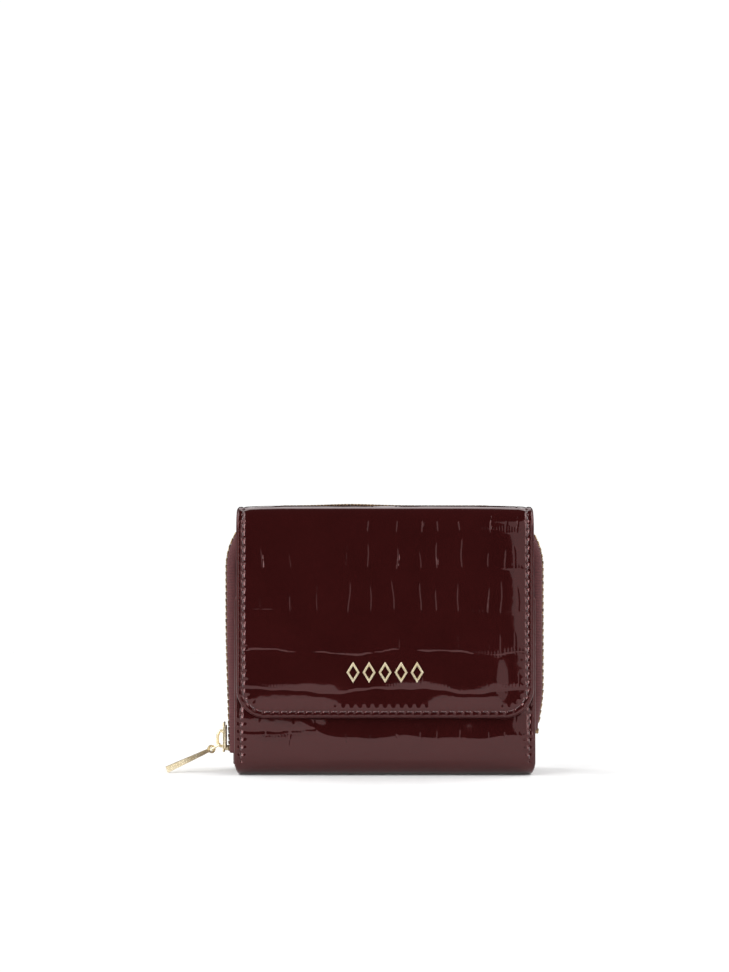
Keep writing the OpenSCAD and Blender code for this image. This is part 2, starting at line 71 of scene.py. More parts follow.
class Slot(Enum):
    """The record's material slots."""

    CROC = "croc_leather"
    SMOOTH = "smooth_leather"
    FABRIC = "lining_fabric"
    TAPE = "zip_tape"
    BOARD = "board"
    THREAD = "thread"
    GOLD = "gold_metal"
    BRASS = "tooth_brass"
    STEEL = "plain_steel"
    MAGNET = "magnet"


@dataclass(frozen=True)
class Extent:
    """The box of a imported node, in metres."""

    low: Vector
    high: Vector

    @staticmethod
    def of(node: str) -> "Extent":
        """The extent of one node at rest."""
        return Extent(*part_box(node))


@dataclass
class Piece:
    """One named mesh while it is being made.

    Attributes:
        name: The piece's name.
        points: Vertex places, one row each, in metres.
        faces: Vertex numbers of each face.
        flat: Place of each vertex on the flat material, for weaves and grain.
        second: Numbers of the faces that take the second material.
        sharp: Whether the faces are shaded flat.
    """

    name: str
    points: np.ndarray
    faces: list[Sequence[int]]
    flat: np.ndarray | None = None
    second: frozenset[int] = frozenset()
    sharp: bool = False

    def make(self, *materials: bpy.types.Material) -> bpy.types.Object:
        """Makes the object.

        Args:
            materials: The piece's finish, and the finish of its second faces.

        Returns:
            The new object, linked to the scene.
        """
        mesh = bpy.data.meshes.new(self.name)
        mesh.from_pydata([tuple(p) for p in self.points.tolist()], [], self.faces)
        for material in materials:
            mesh.materials.append(material)
        if self.second:
            mesh.polygons.foreach_set(
                "material_index", [int(i in self.second) for i in range(len(self.faces))]
            )
        if self.flat is not None:
            store = mesh.attributes.new("flat", "FLOAT_VECTOR", "POINT")
            store.data.foreach_set("vector", self.flat.astype(np.float32).ravel())
        mesh.polygons.foreach_set("use_smooth", [not self.sharp] * len(self.faces))
        mesh.update()
        made = bpy.data.objects.new(self.name, mesh)
        bpy.context.scene.collection.objects.link(made)
        return made


def turned(faces: list[Sequence[int]], wanted: bool) -> list[Sequence[int]]:
    """The faces, turned over if that is wanted."""
    return [tuple(reversed(face)) for face in faces] if wanted else faces


def strip(along: np.ndarray, around: np.ndarray) -> np.ndarray:
    """Flat places of a tube, ring by ring."""
    count = len(along) * len(around)
    return np.stack([np.repeat(along, len(around)), np.tile(around, len(along)), np.zeros(count)], 1)


def headings(path: np.ndarray) -> np.ndarray:
    """Unit directions along a path of two columns."""
    way = np.gradient(path, axis=0)
    return way / np.linalg.norm(way, axis=1)[:, None]


def girths(section: np.ndarray) -> np.ndarray:
    """Distance of each point of a closed section from its first one, round the section."""
    edge = np.linalg.norm(np.diff(section, axis=0, append=section[:1]), axis=1)
    return np.concatenate([[0], np.cumsum(edge)[:-1]])


def level(height: float) -> Heights:
    """A height that is the same everywhere."""
    return lambda x, s: np.full_like(x, height)


def join(name: str, parts: Sequence[Piece]) -> Piece:
    """Puts several meshes into one piece.

    Args:
        name: The joined piece's name.
        parts: The meshes, all with or all without flat places.

    Returns:
        The joined piece.
    """
    faces: list[Sequence[int]] = []
    second: set[int] = set()
    start = 0
    for part in parts:
        second.update(i + len(faces) for i in part.second)
        faces += [tuple(i + start for i in f) for f in part.faces]
        start += len(part.points)
    flat = None if parts[0].flat is None else np.vstack([p.flat for p in parts])
    return Piece(name, np.vstack([p.points for p in parts]), faces, flat, frozenset(second))


def tube_faces(rings: int, around: int, capped: bool = True) -> list[tuple[int, ...]]:
    """Faces of a tube.

    Args:
        rings: How many rings it has.
        around: Points on each ring.
        capped: Whether both ends are closed.

    Returns:
        The faces, for rings stored one after another.
    """
    last = (rings - 1) * around
    faces = [
        (r + i, r + (i + 1) % around, r + around + (i + 1) % around, r + around + i)
        for r in range(0, last, around)
        for i in range(around)
    ]
    if capped:
        faces.append(tuple(reversed(range(around))))
        faces.append(tuple(range(last, last + around)))
    return faces


def swept(name: str, centres: np.ndarray, across: np.ndarray, up: np.ndarray,
          section: np.ndarray) -> Piece:
    """Carries one section along a line.

    Args:
        name: The piece's name.
        centres: Points along the line.
        across: Direction of the section's first axis at each point.
        up: Direction of the section's second axis at each point.
        section: The section's points in those two axes, anticlockwise.

    Returns:
        The tube with closed ends, and with flat places that run along it and around it.
    """
    rows = centres[:, None] + section[None, :, :1] * across[:, None] + section[None, :, 1:] * up[:, None]
    run = np.concatenate([[0], np.cumsum(np.linalg.norm(np.diff(centres, axis=0), axis=1))])
    return Piece(name, rows.reshape(-1, 3), tube_faces(len(run), len(section)), strip(run, girths(section)))


def rounded_block(name: str, low: Sequence[float], high: Sequence[float], radius: float,
                  steps: int = 3) -> Piece:
    """A block with rounded edges and corners.

    Args:
        name: The piece's name.
        low: Lowest corner.
        high: Highest corner.
        radius: Radius of the edges.
        steps: Steps of each quarter turn.

    Returns:
        The block as a closed mesh.
    """
    low_v, high_v = np.array(low, float), np.array(high, float)
    radius = min(radius, 0.49 * float((high_v - low_v).min()))
    turns = np.linspace(0, math.pi / 2, steps + 1)
    ring = [(q * math.pi / 2 + a, q) for q in range(4) for a in turns]
    signs = [(1, 1), (-1, 1), (-1, -1), (1, -1)]
    levels = [(-1, -math.cos(a), math.sin(a)) for a in turns]
    levels += [(1, math.sin(a), math.cos(a)) for a in turns]
    centre, half = (low_v + high_v) / 2, (high_v - low_v) / 2 - radius
    points = [
        centre + np.array([
            signs[q][0] * half[0] + radius * spread * math.cos(angle),
            signs[q][1] * half[1] + radius * spread * math.sin(angle),
            side * half[2] + radius * rise,
        ])
        for side, rise, spread in levels
        for angle, q in ring
    ]
    faces = tube_faces(len(levels), len(ring))
    return Piece(name, np.array(points), faces, np.array(points))


# ---- Profiles and flat outlines ----


def smooth(value: np.ndarray, low: float, high: float) -> np.ndarray:
    """A soft step from 0 at low to 1 at high."""
    t = np.clip((value - low) / (high - low), 0, 1)
    return t * t * (3 - 2 * t)


@dataclass(frozen=True)
class Straight:
    """A straight stretch of a profile, from one (Y, Z) place to another."""

    start: tuple[float, float]
    end: tuple[float, float]

    @property
    def length(self) -> float:
        """Length of the stretch."""
        return math.dist(self.start, self.end)

    def at(self, s: np.ndarray) -> tuple[np.ndarray, np.ndarray]:
        """Places and unit directions at distances from its start."""
        way = (np.array(self.end) - np.array(self.start)) / self.length
        return np.array(self.start) + s[:, None] * way, np.repeat(way[None], len(s), 0)


@dataclass(frozen=True)
class Bend:
    """A round stretch of a profile: a turn in degrees about a (Y, Z) centre from a first angle above +Y."""

    centre: tuple[float, float]
    radius: float
    first: float
    turn: float

    @property
    def length(self) -> float:
        """Length of the stretch."""
        return self.radius * math.radians(abs(self.turn))

    def at(self, s: np.ndarray) -> tuple[np.ndarray, np.ndarray]:
        """Places and directions along the stretch.

        Args:
            s: Distances from its start.

        Returns:
            The places and the unit directions, each with a row per distance.
        """
        sign = math.copysign(1, self.turn)
        angle = math.radians(self.first) + sign * s / self.radius
        ray = np.stack([np.cos(angle), np.sin(angle)], 1)
        way = sign * np.stack([-ray[:, 1], ray[:, 0]], 1)
        return np.array(self.centre) + self.radius * ray, way


@dataclass(frozen=True)
class Profile:
    """The outer face of a sheet in the Y-Z plane, from its free end to its other end.

    Attributes:
        stretches: The straight and round stretches in order.
        side: 1 where the outside is on the left of the direction of travel, -1 where on its right.
        pinch: Share of the width that the sides draw in by.
        pinch_span: Distances between which they draw in.
    """

    stretches: tuple[Straight | Bend, ...]
    side: int = 1
    pinch: float = 0.0
    pinch_span: tuple[float, float] = (0.0, 1.0)

    @property
    def length(self) -> float:
        """Length of the whole profile."""
        return sum(stretch.length for stretch in self.stretches)

    def place(self, x: np.ndarray, s: np.ndarray, height: np.ndarray) -> np.ndarray:
        """Bends flat places along the profile.

        Args:
            x: Places across.
            s: Distances along the profile.
            height: Heights above the outer face.

        Returns:
            The places in the frame, one row each.
        """
        spots, ways = np.zeros((len(s), 2)), np.zeros((len(s), 2))
        start = 0.0
        for number, stretch in enumerate(self.stretches):
            last = number == len(self.stretches) - 1
            here = (s >= start if number else s > -1) & ((s < start + stretch.length) | last)
            spots[here], ways[here] = stretch.at(s[here] - start)
            start += stretch.length
        out = self.side * np.stack([-ways[:, 1], ways[:, 0]], 1)
        spots = spots + out * height[:, None]
        drawn = x * (1 - self.pinch * smooth(s, *self.pinch_span))
        return np.column_stack([drawn, spots])


@dataclass(frozen=True)
class Outline:
    """A sheet's flat outline: full width along its sides, with two rounded corners at its free end.

    Attributes:
        half: Half of the width.
        corner: Radius of the two corners.
        length: Length from the free end.
    """

    half: float
    corner: float
    length: float

    def inset(self, by: float) -> "Outline":
        """The outline drawn in on three sides; its free end then starts that much further along."""
        return Outline(self.half - by, max(self.corner - by, 0.2 * MM), self.length - by)

    def fit(self, x: np.ndarray, s: np.ndarray) -> tuple[np.ndarray, np.ndarray]:
        """Moves the places in each square corner onto rings that follow the round corner.

        Args:
            x: Places across, inside the plain rectangle.
            s: Distances from the free end.

        Returns:
            The moved x and s.
        """
        side, low = self.half - np.abs(x), s
        held = (side < self.corner) & (low < self.corner)
        ring = np.minimum(side, low)
        left = np.maximum(self.corner - ring, 1e-9)
        angle = math.pi / 4 * (1 + np.where(low < side, 1, -1) * np.abs(side - low) / left)
        round_x = self.half - self.corner + left * np.cos(angle)
        round_s = self.corner - left * np.sin(angle)
        return np.where(held, np.sign(x) * round_x, x), np.where(held, round_s, s)

    def edge(self, x: np.ndarray, s: np.ndarray, line: float) -> tuple[np.ndarray, np.ndarray]:
        """Says how far places are from the outline, and where along it.

        Args:
            x: Places across.
            s: Distances from the free end.
            line: Inset of the line along which the second answer is measured.

        Returns:
            The inset of each place, and its distance along the line from the middle of the free end.
        """
        out_x, out_s = np.abs(x) - (self.half - self.corner), self.corner - s
        in_corner = (out_x > 0) & (out_s > 0)
        inset = np.minimum(self.half - np.abs(x), s)
        inset = np.where(in_corner, self.corner - np.hypot(out_x, out_s), inset)
        arc = (self.corner - line) * np.arctan2(np.maximum(out_x, 0), np.maximum(out_s, 1e-9))
        along_end = np.minimum(np.abs(x), self.half - self.corner) + np.where(in_corner, arc, 0)
        quarter = (self.corner - line) * math.pi / 2
        along_side = self.half - self.corner + quarter + (s - self.corner)
        beside = ~in_corner & (self.half - np.abs(x) < s)
        return inset, np.sign(x) * np.where(beside, along_side, along_end)

    def walk(self, inset: float, distances: np.ndarray) -> tuple[np.ndarray, np.ndarray]:
        """Places on a line drawn in from the outline.

        Args:
            inset: How far in the line is.
            distances: Distances along it from the middle of the free end, negative on the left.

        Returns:
            The (X, S) places and the outward directions there.
        """
        far, sign = np.abs(distances), np.where(distances < 0, -1.0, 1.0)
        flat_end, radius = self.half - self.corner, self.corner - inset
        quarter = radius * math.pi / 2
        angle = np.clip((far - flat_end) / radius, 0, math.pi / 2)
        x = np.minimum(far, flat_end) + radius * np.sin(angle)
        s = self.corner - radius * np.cos(angle) + np.maximum(far - flat_end - quarter, 0)
        out = np.stack([sign * np.sin(angle), -np.cos(angle)], 1)
        return np.stack([sign * x, s], 1), out

    def reach(self, inset: float) -> float:
        """Length of half of the line drawn in by inset, from the middle of the free end."""
        return self.half - self.corner + (self.corner - inset) * math.pi / 2 + self.length - self.corner


@dataclass(frozen=True)
class Sheet:
    """A flat-cut sheet that is bent along a profile.

    Attributes:
        outline: Its flat outline.
        profile: The profile of its outer face.
        top: Height of its outer side above the profile.
        under: Height of its inner side above the profile.
        steps: Grid steps across and along.
        rise: Distance along the profile where the sheet's free end lies.
    """

    outline: Outline
    profile: Profile
    top: Heights
    under: Heights
    steps: tuple[float, float]
    rise: float = 0.0

    def declare(self, made: bpy.types.Object, held: str, on: str, *pieces: bpy.types.Object) -> None:
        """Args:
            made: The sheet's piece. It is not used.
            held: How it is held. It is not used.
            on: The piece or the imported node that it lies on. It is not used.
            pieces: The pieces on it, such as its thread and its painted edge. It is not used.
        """
        width, length = 2 * self.outline.half, self.outline.length

    def mesh(self, name: str) -> Piece:
        """Makes the closed mesh, with an inner side twice as coarse as the outer one.

        Args:
            name: The piece's name.

        Returns:
            The piece, with its inner side's faces as the second ones.
        """
        across = 2 * max(2, round(self.outline.half / self.steps[0]))
        along = 2 * max(2, round(self.outline.length / self.steps[1] / 2))
        cols, rows = np.linspace(-1, 1, across + 1), np.linspace(0, 1, along + 1)
        top = self._side(cols, rows, self.top)
        under = self._side(cols[::2], rows[::2], self.under)
        wide, small = across + 1, across // 2 + 1
        base = wide * (along + 1)
        faces: list[tuple[int, ...]] = [
            (j * wide + i, j * wide + i + 1, (j + 1) * wide + i + 1, (j + 1) * wide + i)
            for j in range(along) for i in range(across)
        ]
        second = len(faces)
        faces += [
            (base + j * small + i, base + (j + 1) * small + i,
             base + (j + 1) * small + i + 1, base + j * small + i + 1)
            for j in range(along // 2) for i in range(across // 2)
        ]
        end = len(faces)
        for i in range(across // 2):
            a, b = 2 * i, base + i
            faces.append((a + 2, a + 1, a, b, b + 1))
            a, b = along * wide + 2 * i, base + along // 2 * small + i
            faces.append((a, a + 1, a + 2, b + 1, b))
        for j in range(along // 2):
            a, b = 2 * j * wide, base + j * small
            faces.append((a, a + wide, a + 2 * wide, b + small, b))
            a, b = a + across, b + small - 1
            faces.append((a + 2 * wide, a + wide, a, b, b + small))
        faces = turned(faces, self.profile.side > 0)
        points = np.vstack([top[0], under[0]])
        return Piece(name, points, faces, np.vstack([top[1], under[1]]), frozenset(range(second, end)))

    def _side(self, cols: np.ndarray, rows: np.ndarray, height: Heights) -> tuple[np.ndarray, np.ndarray]:
        """Places and flat places of one side's grid."""
        x, s = np.meshgrid(cols * self.outline.half, rows * self.outline.length)
        x, s = self.outline.fit(x.ravel(), s.ravel())
        s = s + self.rise
        lift = height(x, s)
        return self.profile.place(x, s, lift), np.stack([x, s, lift], 1)


# ---- Relief pressed into the leather ----


@dataclass(frozen=True)
class Stitching:
    """A row of stitches round a sheet.

    Attributes:
        pitch: Distance from one stitch to the next.
        inset: Distance of the row from the sheet's outline.
        sink: Depth of the groove that the thread pulls in the leather.
        bite: Extra depth at each needle hole.
        seat: How far the thread is pulled below the leather's face.
    """

    pitch: float
    inset: float = 2.4 * MM
    sink: float = 0.16 * MM
    bite: float = 0.34 * MM
    seat: float = 0.06 * MM

    def press(self, inset: np.ndarray, along: np.ndarray) -> np.ndarray:
        """Depth of the groove and the needle holes.

        Args:
            inset: Distances from the outline.
            along: Distances along the row.

        Returns:
            The depths, below zero.
        """
        off = inset - self.inset
        phase = (along / self.pitch) % 1
        hole = np.abs(phase - 0.5) * self.pitch
        narrow = 0.42 * MM
        groove = self.sink * np.exp(-((off / (0.55 * MM)) ** 2))
        pucker = self.bite * np.exp(-((off / narrow) ** 2) - (hole / narrow) ** 2)
        wave = np.cos(2 * math.pi * phase)
        pull = 0.05 * MM * np.exp(-(((off - 0.9 * MM) / (0.9 * MM)) ** 2)) * wave
        ridge = 0.11 * MM * np.exp(-(((off + 0.85 * MM) / narrow) ** 2)) * (0.6 + 0.4 * wave)
        return ridge + pull - groove - pucker

    def thread(self, name: str, outline: Outline, profile: Profile, stop: float, skin: Heights) -> Piece:
        """Makes the thread of the whole row.

        Args:
            name: The piece's name.
            outline: The sheet's outline.
            profile: The sheet's profile.
            stop: How far from the sheet's other end the row stops.
            skin: Height of the leather's face.

        Returns:
            One arched, two-ply stitch for each pitch.
        """
        last = int((outline.reach(self.inset) - stop) / self.pitch)
        rings, around = 7, 8
        share = np.linspace(-1, 1, rings)
        angle = np.arange(around) * 2 * math.pi / around
        parts = []
        for number in range(-last, last + 1):
            along = (number + 0.35 * share) * self.pitch
            spots, out = outline.walk(self.inset, along)
            lift = skin(spots[3:4, 0], spots[3:4, 1]) + self.sink
            width = 0.24 * MM * (1 - 0.35 * share ** 4)
            arch = lift - self.seat - 0.4 * MM * share ** 4
            x = spots[:, :1] + out[:, :1] * width[:, None] * np.cos(angle)
            s = spots[:, 1:] + out[:, 1:] * width[:, None] * np.cos(angle)
            up = arch[:, None] + 0.8 * width[:, None] * np.sin(angle)
            points = profile.place(x.ravel(), s.ravel(), up.ravel())
            parts.append(Piece("stitch", points, tube_faces(rings, around), strip(along, angle * 0.3 * MM)))
        return join(name, parts)


@dataclass(frozen=True)
class Furrow:
    """One furrow across the embossed scales.

    Attributes:
        place: Distance along the sheet.
        depth: Depth of the furrow.
        wave: How far it wanders up and down.
        dome: Height of the domes of the scales above it.
        left: Strength of the creases above it on the left.
        right: Strength of the creases above it on the right.
    """

    place: float
    depth: float
    wave: float
    dome: float
    left: float = 0.8
    right: float = 0.8


def furrows(*rows: Sequence[float]) -> tuple[Furrow, ...]:
    """Furrows from rows of their lengths in millimetres and, if given, the strengths of their creases."""
    return tuple(Furrow(*(MM * length for length in row[:4]), *row[4:]) for row in rows)


@dataclass(frozen=True)
class Croc:
    """Embossed scales: furrows across, with creases between them.

    Attributes:
        furrows: The furrows, from the sheet's free end on.
        creases: Places across of the creases, before each row's own shift.
        seed: Seed of the shifts, waves and slants.
        crease: Depth of a crease.
        width: Width of each of a crease's two walls.
    """

    furrows: tuple[Furrow, ...]
    creases: tuple[float, ...]
    seed: int
    crease: float = 0.13 * MM
    width: float = 0.3 * MM

    def lines(self, x: np.ndarray, dice: np.random.Generator) -> list[np.ndarray]:
        """Distance along the sheet of each furrow, at each place across."""
        result = []
        for furrow in self.furrows:
            phase = dice.uniform(0, 2 * math.pi, 3)
            sway = np.sin(x / (8.2 * MM) + phase[0]) + 0.4 * np.sin(x / (3.7 * MM) + phase[1])
            result.append(furrow.place + furrow.wave * (sway + 0.16 * np.sin(x / (1.3 * MM) + phase[2])))
        return result

    def height(self, x: np.ndarray, s: np.ndarray) -> np.ndarray:
        """Height of the pressed surface.

        Args:
            x: Places across.
            s: Distances along.

        Returns:
            The heights, zero at the edge of a scale.
        """
        dice = np.random.default_rng(self.seed)
        lines = self.lines(x, dice)
        result = np.zeros_like(x)
        beyond = self.furrows[-1].place + 13 * MM
        for number, (furrow, line) in enumerate(zip(self.furrows, lines)):
            off = s - line
            shift = dice.uniform(0, 6, 3)
            uneven = 0.62 + 0.38 * np.sin(x / (6.3 * MM) + shift[0]) * np.sin(x / (2.9 * MM) + shift[1])
            broad = 0.24 * MM + 0.5 * furrow.depth
            deep = furrow.depth * uneven + 0.07 * MM * smooth(np.abs(x), 37 * MM, 43 * MM)
            result -= deep * np.exp(-((off / broad) ** 2))
            upper = lines[number + 1] if number + 1 < len(lines) else line + beyond - furrow.place
            share = off / (upper - line)
            inside = (share > 0) & (share < 1)
            swell = 0.55 + 0.45 * np.sin(x / (5.2 * MM) + shift[2])
            dome = furrow.dome * swell * np.sin(math.pi * np.clip(share, 0, 1)) ** 1.4
            result += np.where(inside, dome, 0)
            strength = furrow.left + (furrow.right - furrow.left) * smooth(x, -22 * MM, 0)
            result += strength * self._creases(x, off, np.where(inside, share, 0), dice)
            ticks = np.sin(x / (0.34 * MM) + 1.6 * np.sin(x / (5 * MM) + number)) ** 6
            near = np.where(inside, np.exp(-(((off - 1.1 * MM) / (0.7 * MM)) ** 2)), 0)
            patches = smooth(np.sin(x / (7 * MM) + 2 * number), -0.5, 0.4)
            result -= 0.3 * furrow.depth * ticks * near * patches
        return result

    def cell(self, x: np.ndarray, s: np.ndarray) -> np.ndarray:
        """How near places are to the middle of their scale row, from 0 at a furrow to 1."""
        lines = self.lines(x, np.random.default_rng(self.seed))
        result = np.zeros_like(x)
        for low, high in zip(lines, lines[1:]):
            share = np.clip((s - low) / (high - low), 0, 1)
            result += np.sin(math.pi * share)
        return result

    def _creases(self, x: np.ndarray, off: np.ndarray, share: np.ndarray,
                 dice: np.random.Generator) -> np.ndarray:
        """Height of one row's creases, which deepen towards the furrow below them."""
        count = len(self.creases)
        jog, lean = dice.uniform(-0.9, 0.9, count) * MM, dice.uniform(-0.09, 0.09, count)
        power, top = dice.uniform(0.45, 1.35, count), dice.uniform(0.5, 0.92, count)
        result = np.zeros_like(x)
        for number, place in enumerate(self.creases):
            middle = place + jog[number] + lean[number] * off + 0.2 * MM * np.sin(off / (2.1 * MM) + number)
            reach = smooth(share, 0.02, 0.07) * (1 - smooth(share, top[number] - 0.3, top[number]))
            wall = np.maximum(1 - np.abs(x - middle) / self.width, 0)
            result -= self.crease * power[number] * reach * (1.15 - 0.45 * share) * wall
        return result


# ---- Finishes ----


class Tree:
    """A material's node tree, with short calls for its nodes."""

    def __init__(self, name: str) -> None:
        """Starts an empty material of that name, with one principled shader."""
        self.material = bpy.data.materials.new(name)
        self.material.use_nodes = True
        self.nodes = self.material.node_tree.nodes
        self.links = self.material.node_tree.links
        self.shader = self.nodes["Principled BSDF"]

    def add(self, kind: str, **settings: object) -> bpy.types.Node:
        """Adds a node.

        Args:
            kind: Its type, without the prefix.
            settings: Its own settings by name, and its inputs by name with _ for spaces.

        Returns:
            The node.
        """
        node = self.nodes.new("ShaderNode" + kind)
        for key, value in settings.items():
            if hasattr(node, key):
                setattr(node, key, value)
                continue
            socket = node.inputs[key.replace("_", " ")]
            if isinstance(value, bpy.types.NodeSocket):
                self.links.new(value, socket)
            else:
                socket.default_value = value
        return node

    def place(self, flat: bool) -> bpy.types.NodeSocket:
        """Coordinates in metres: on the flat sheet, or in the object."""
        if flat:
            return self.add("Attribute", attribute_name="flat").outputs["Vector"]
        return self.add("TexCoord").outputs["Object"]

    def noise(self, where: bpy.types.NodeSocket, scale: float, detail: float = 3.0) -> bpy.types.NodeSocket:
        """Noise of that many features a metre."""
        return self.add("TexNoise", Vector=where, Scale=scale, Detail=detail).outputs["Fac"]

    def ramp(self, value: bpy.types.NodeSocket, low: Sequence[float], high: Sequence[float],
             start: float = 0.35, end: float = 0.65) -> bpy.types.NodeSocket:
        """A colour between two, by a value between start and end."""
        node = self.add("ValToRGB")
        self.links.new(value, node.inputs["Fac"])
        node.color_ramp.elements[0].position = start
        node.color_ramp.elements[1].position = end
        node.color_ramp.elements[0].color = (*low, 1)
        node.color_ramp.elements[1].color = (*high, 1)
        return node.outputs["Color"]

    def span(self, value: bpy.types.NodeSocket, low: float, high: float) -> bpy.types.NodeSocket:
        """Stretches a value from 0..1 to low..high."""
        return self.add("MapRange", Value=value, To_Min=low, To_Max=high).outputs["Result"]

    def maths(self, operation: str, first: object, second: object) -> bpy.types.NodeSocket:
        """One sum of two values."""
        node = self.add("Math", operation=operation)
        for socket, value in zip(node.inputs, (first, second)):
            if isinstance(value, bpy.types.NodeSocket):
                self.links.new(value, socket)
            else:
                socket.default_value = value
        return node.outputs[0]

    def bump(self, height: bpy.types.NodeSocket, depth: float, under: bpy.types.NodeSocket | None = None,
             strength: float = 1.0) -> bpy.types.NodeSocket:
        """A normal raised by a height of that depth in metres, over another normal if one is given."""
        node = self.add("Bump", Height=height, Distance=depth, Strength=strength)
        if under:
            self.links.new(under, node.inputs["Normal"])
        return node.outputs["Normal"]

    def set(self, **sockets: object) -> None:
        """Sets or links the shader's own sockets, by name with _ for spaces."""
        for key, value in sockets.items():
            socket = self.shader.inputs[key.replace("_", " ")]
            if isinstance(value, bpy.types.NodeSocket):
                self.links.new(value, socket)
            else:
                socket.default_value = value


@dataclass(frozen=True)
class Patent:
    """Patent leather: a dark dyed skin under a thick clear gloss.

    Attributes:
        name: The material's name.
        deep: The darker colour.
        light: The lighter colour.
        flat: Whether the surface carries flat places.
    """

    name: str = "patent_croc"
    deep: tuple[float, float, float] = (0.0215, 0.0028, 0.0028)
    light: tuple[float, float, float] = (0.025, 0.0033, 0.0033)
    flat: bool = True

    def material(self) -> bpy.types.Material:
        """Builds the material."""
        tree = Tree(self.name)
        where = tree.place(self.flat)
        cloud = tree.noise(where, 60, 4)
        pores = tree.add("TexVoronoi", Vector=where, Scale=1900.0).outputs["Distance"]
        ripple = tree.noise(where, 210, 2)
        film = tree.bump(ripple, 0.00002)
        skin = tree.bump(pores, 0.000004, film)
        tree.set(Base_Color=tree.ramp(cloud, self.deep, self.light), Roughness=0.06, Specular_IOR_Level=0.33,
                 Specular_Tint=(1.0, 0.24, 0.24, 1.0), Coat_Weight=0.68, Coat_Roughness=0.03, Coat_IOR=1.43,
                 Normal=skin, Coat_Normal=film)
        return tree.material


@dataclass(frozen=True)
class EdgePaint:
    """The rubbery paint that seals a cut edge, slightly uneven where it was brushed on."""

    name: str = "edge_paint"
    colour: tuple[float, float, float] = (0.02, 0.0046, 0.0046)

    def material(self) -> bpy.types.Material:
        """Builds the material."""
        tree = Tree(self.name)
        where = tree.place(True)
        wobble = tree.noise(where, 420, 2)
        light = tuple(min(1.0, 1.5 * c) for c in self.colour)
        tree.set(Base_Color=tree.ramp(wobble, self.colour, light), Roughness=tree.span(wobble, 0.32, 0.46),
                 Normal=tree.bump(wobble, 0.00005), Specular_Tint=(1.0, 0.35, 0.35, 1.0))
        return tree.material


@dataclass(frozen=True)
class Grained:
    """Plain leather with a fine pebbled grain.

    Attributes:
        name: The material's name.
        deep: Colour between the pebbles.
        light: Colour of the pebbles.
        rough: Lowest roughness.
        flat: Whether the surface carries flat places.
    """

    name: str
    deep: tuple[float, float, float]
    light: tuple[float, float, float]
    rough: float = 0.42
    flat: bool = False

    def material(self) -> bpy.types.Material:
        """Builds the material."""
        tree = Tree(self.name)
        where = tree.place(self.flat)
        pebble = tree.add("TexVoronoi", Vector=where, Scale=1500.0, feature="SMOOTH_F1").outputs["Distance"]
        cloud = tree.noise(where, 130, 4)
        tree.set(Base_Color=tree.ramp(cloud, self.deep, self.light),
                 Roughness=tree.span(pebble, self.rough, self.rough + 0.22),
                 Normal=tree.bump(cloud, 0.0001, tree.bump(pebble, 0.00009)), Specular_IOR_Level=0.4)
        return tree.material


@dataclass(frozen=True)
class Woven:
    """Cloth with a fine weave, with painted shade in the hollows between its yarns.

    Attributes:
        name: The material's name.
        deep: Colour between the yarns, which is painted shade in the weave's hollows.
        light: Colour of the yarns' crowns.
        pitch: Distance between yarns.
        slant: Share of a yarn that each row moves on by, 0 in plain weave.
        flat: Whether the surface carries flat places.
    """

    name: str
    deep: tuple[float, float, float]
    light: tuple[float, float, float]
    pitch: float = 0.35 * MM
    slant: float = 0.0
    flat: bool = False

    def material(self) -> bpy.types.Material:
        """Builds the material."""
        tree = Tree(self.name)
        parts = tree.add("SeparateXYZ", Vector=tree.place(self.flat)).outputs
        turn = 2 * math.pi / self.pitch
        upright = parts[1] if self.flat else tree.maths("ADD", parts[1], parts[2])
        warp = tree.maths("SINE", tree.maths("MULTIPLY", parts[0], turn), 0.0)
        lean = tree.maths("ADD", upright, tree.maths("MULTIPLY", parts[0], self.slant))
        weft = tree.maths("SINE", tree.maths("MULTIPLY", lean, turn), 0.0)
        weave = tree.maths("MULTIPLY", warp, weft) if not self.slant else tree.maths("ADD", weft, warp)
        height = tree.add("MapRange", Value=weave, From_Min=-1.5, From_Max=1.5).outputs["Result"]
        fuzz = tree.noise(tree.place(self.flat), 2600, 2)
        # The base colour follows the weave's height: painted shade darkens the hollows between the yarns.
        tree.set(Base_Color=tree.ramp(height, self.deep, self.light, 0.1, 0.9), Roughness=0.78,
                 Normal=tree.bump(fuzz, 0.00005, tree.bump(height, 0.00012)), Sheen_Weight=0.12,
                 Sheen_Roughness=0.4, Specular_IOR_Level=0.3)
        return tree.material


@dataclass(frozen=True)
class Thread:
    """Bonded sewing thread, twisted from two plies, with painted shade in the groove between them."""

    name: str = "thread_burgundy"
    # deep is painted shade in the groove between the plies; light is the colour on the plies' crowns.
    deep: tuple[float, float, float] = (0.022, 0.0026, 0.0034)
    light: tuple[float, float, float] = (0.06, 0.0075, 0.0095)

    def material(self) -> bpy.types.Material:
        """Builds the material."""
        tree = Tree(self.name)
        parts = tree.add("SeparateXYZ", Vector=tree.place(True)).outputs
        twist = tree.maths("ADD", tree.maths("MULTIPLY", parts[0], 7000.0),
                           tree.maths("MULTIPLY", parts[1], 3300.0))
        ply = tree.span(tree.maths("ABSOLUTE", tree.maths("SINE", twist, 0.0), 0.0), 0.0, 1.0)
        # The base colour follows the ply height: painted shade darkens the groove between the plies.
        tree.set(Base_Color=tree.ramp(ply, self.deep, self.light, 0.1, 0.9), Roughness=0.38,
                 Normal=tree.bump(ply, 0.00006), Coat_Weight=1.0, Coat_Roughness=0.05)
        return tree.material


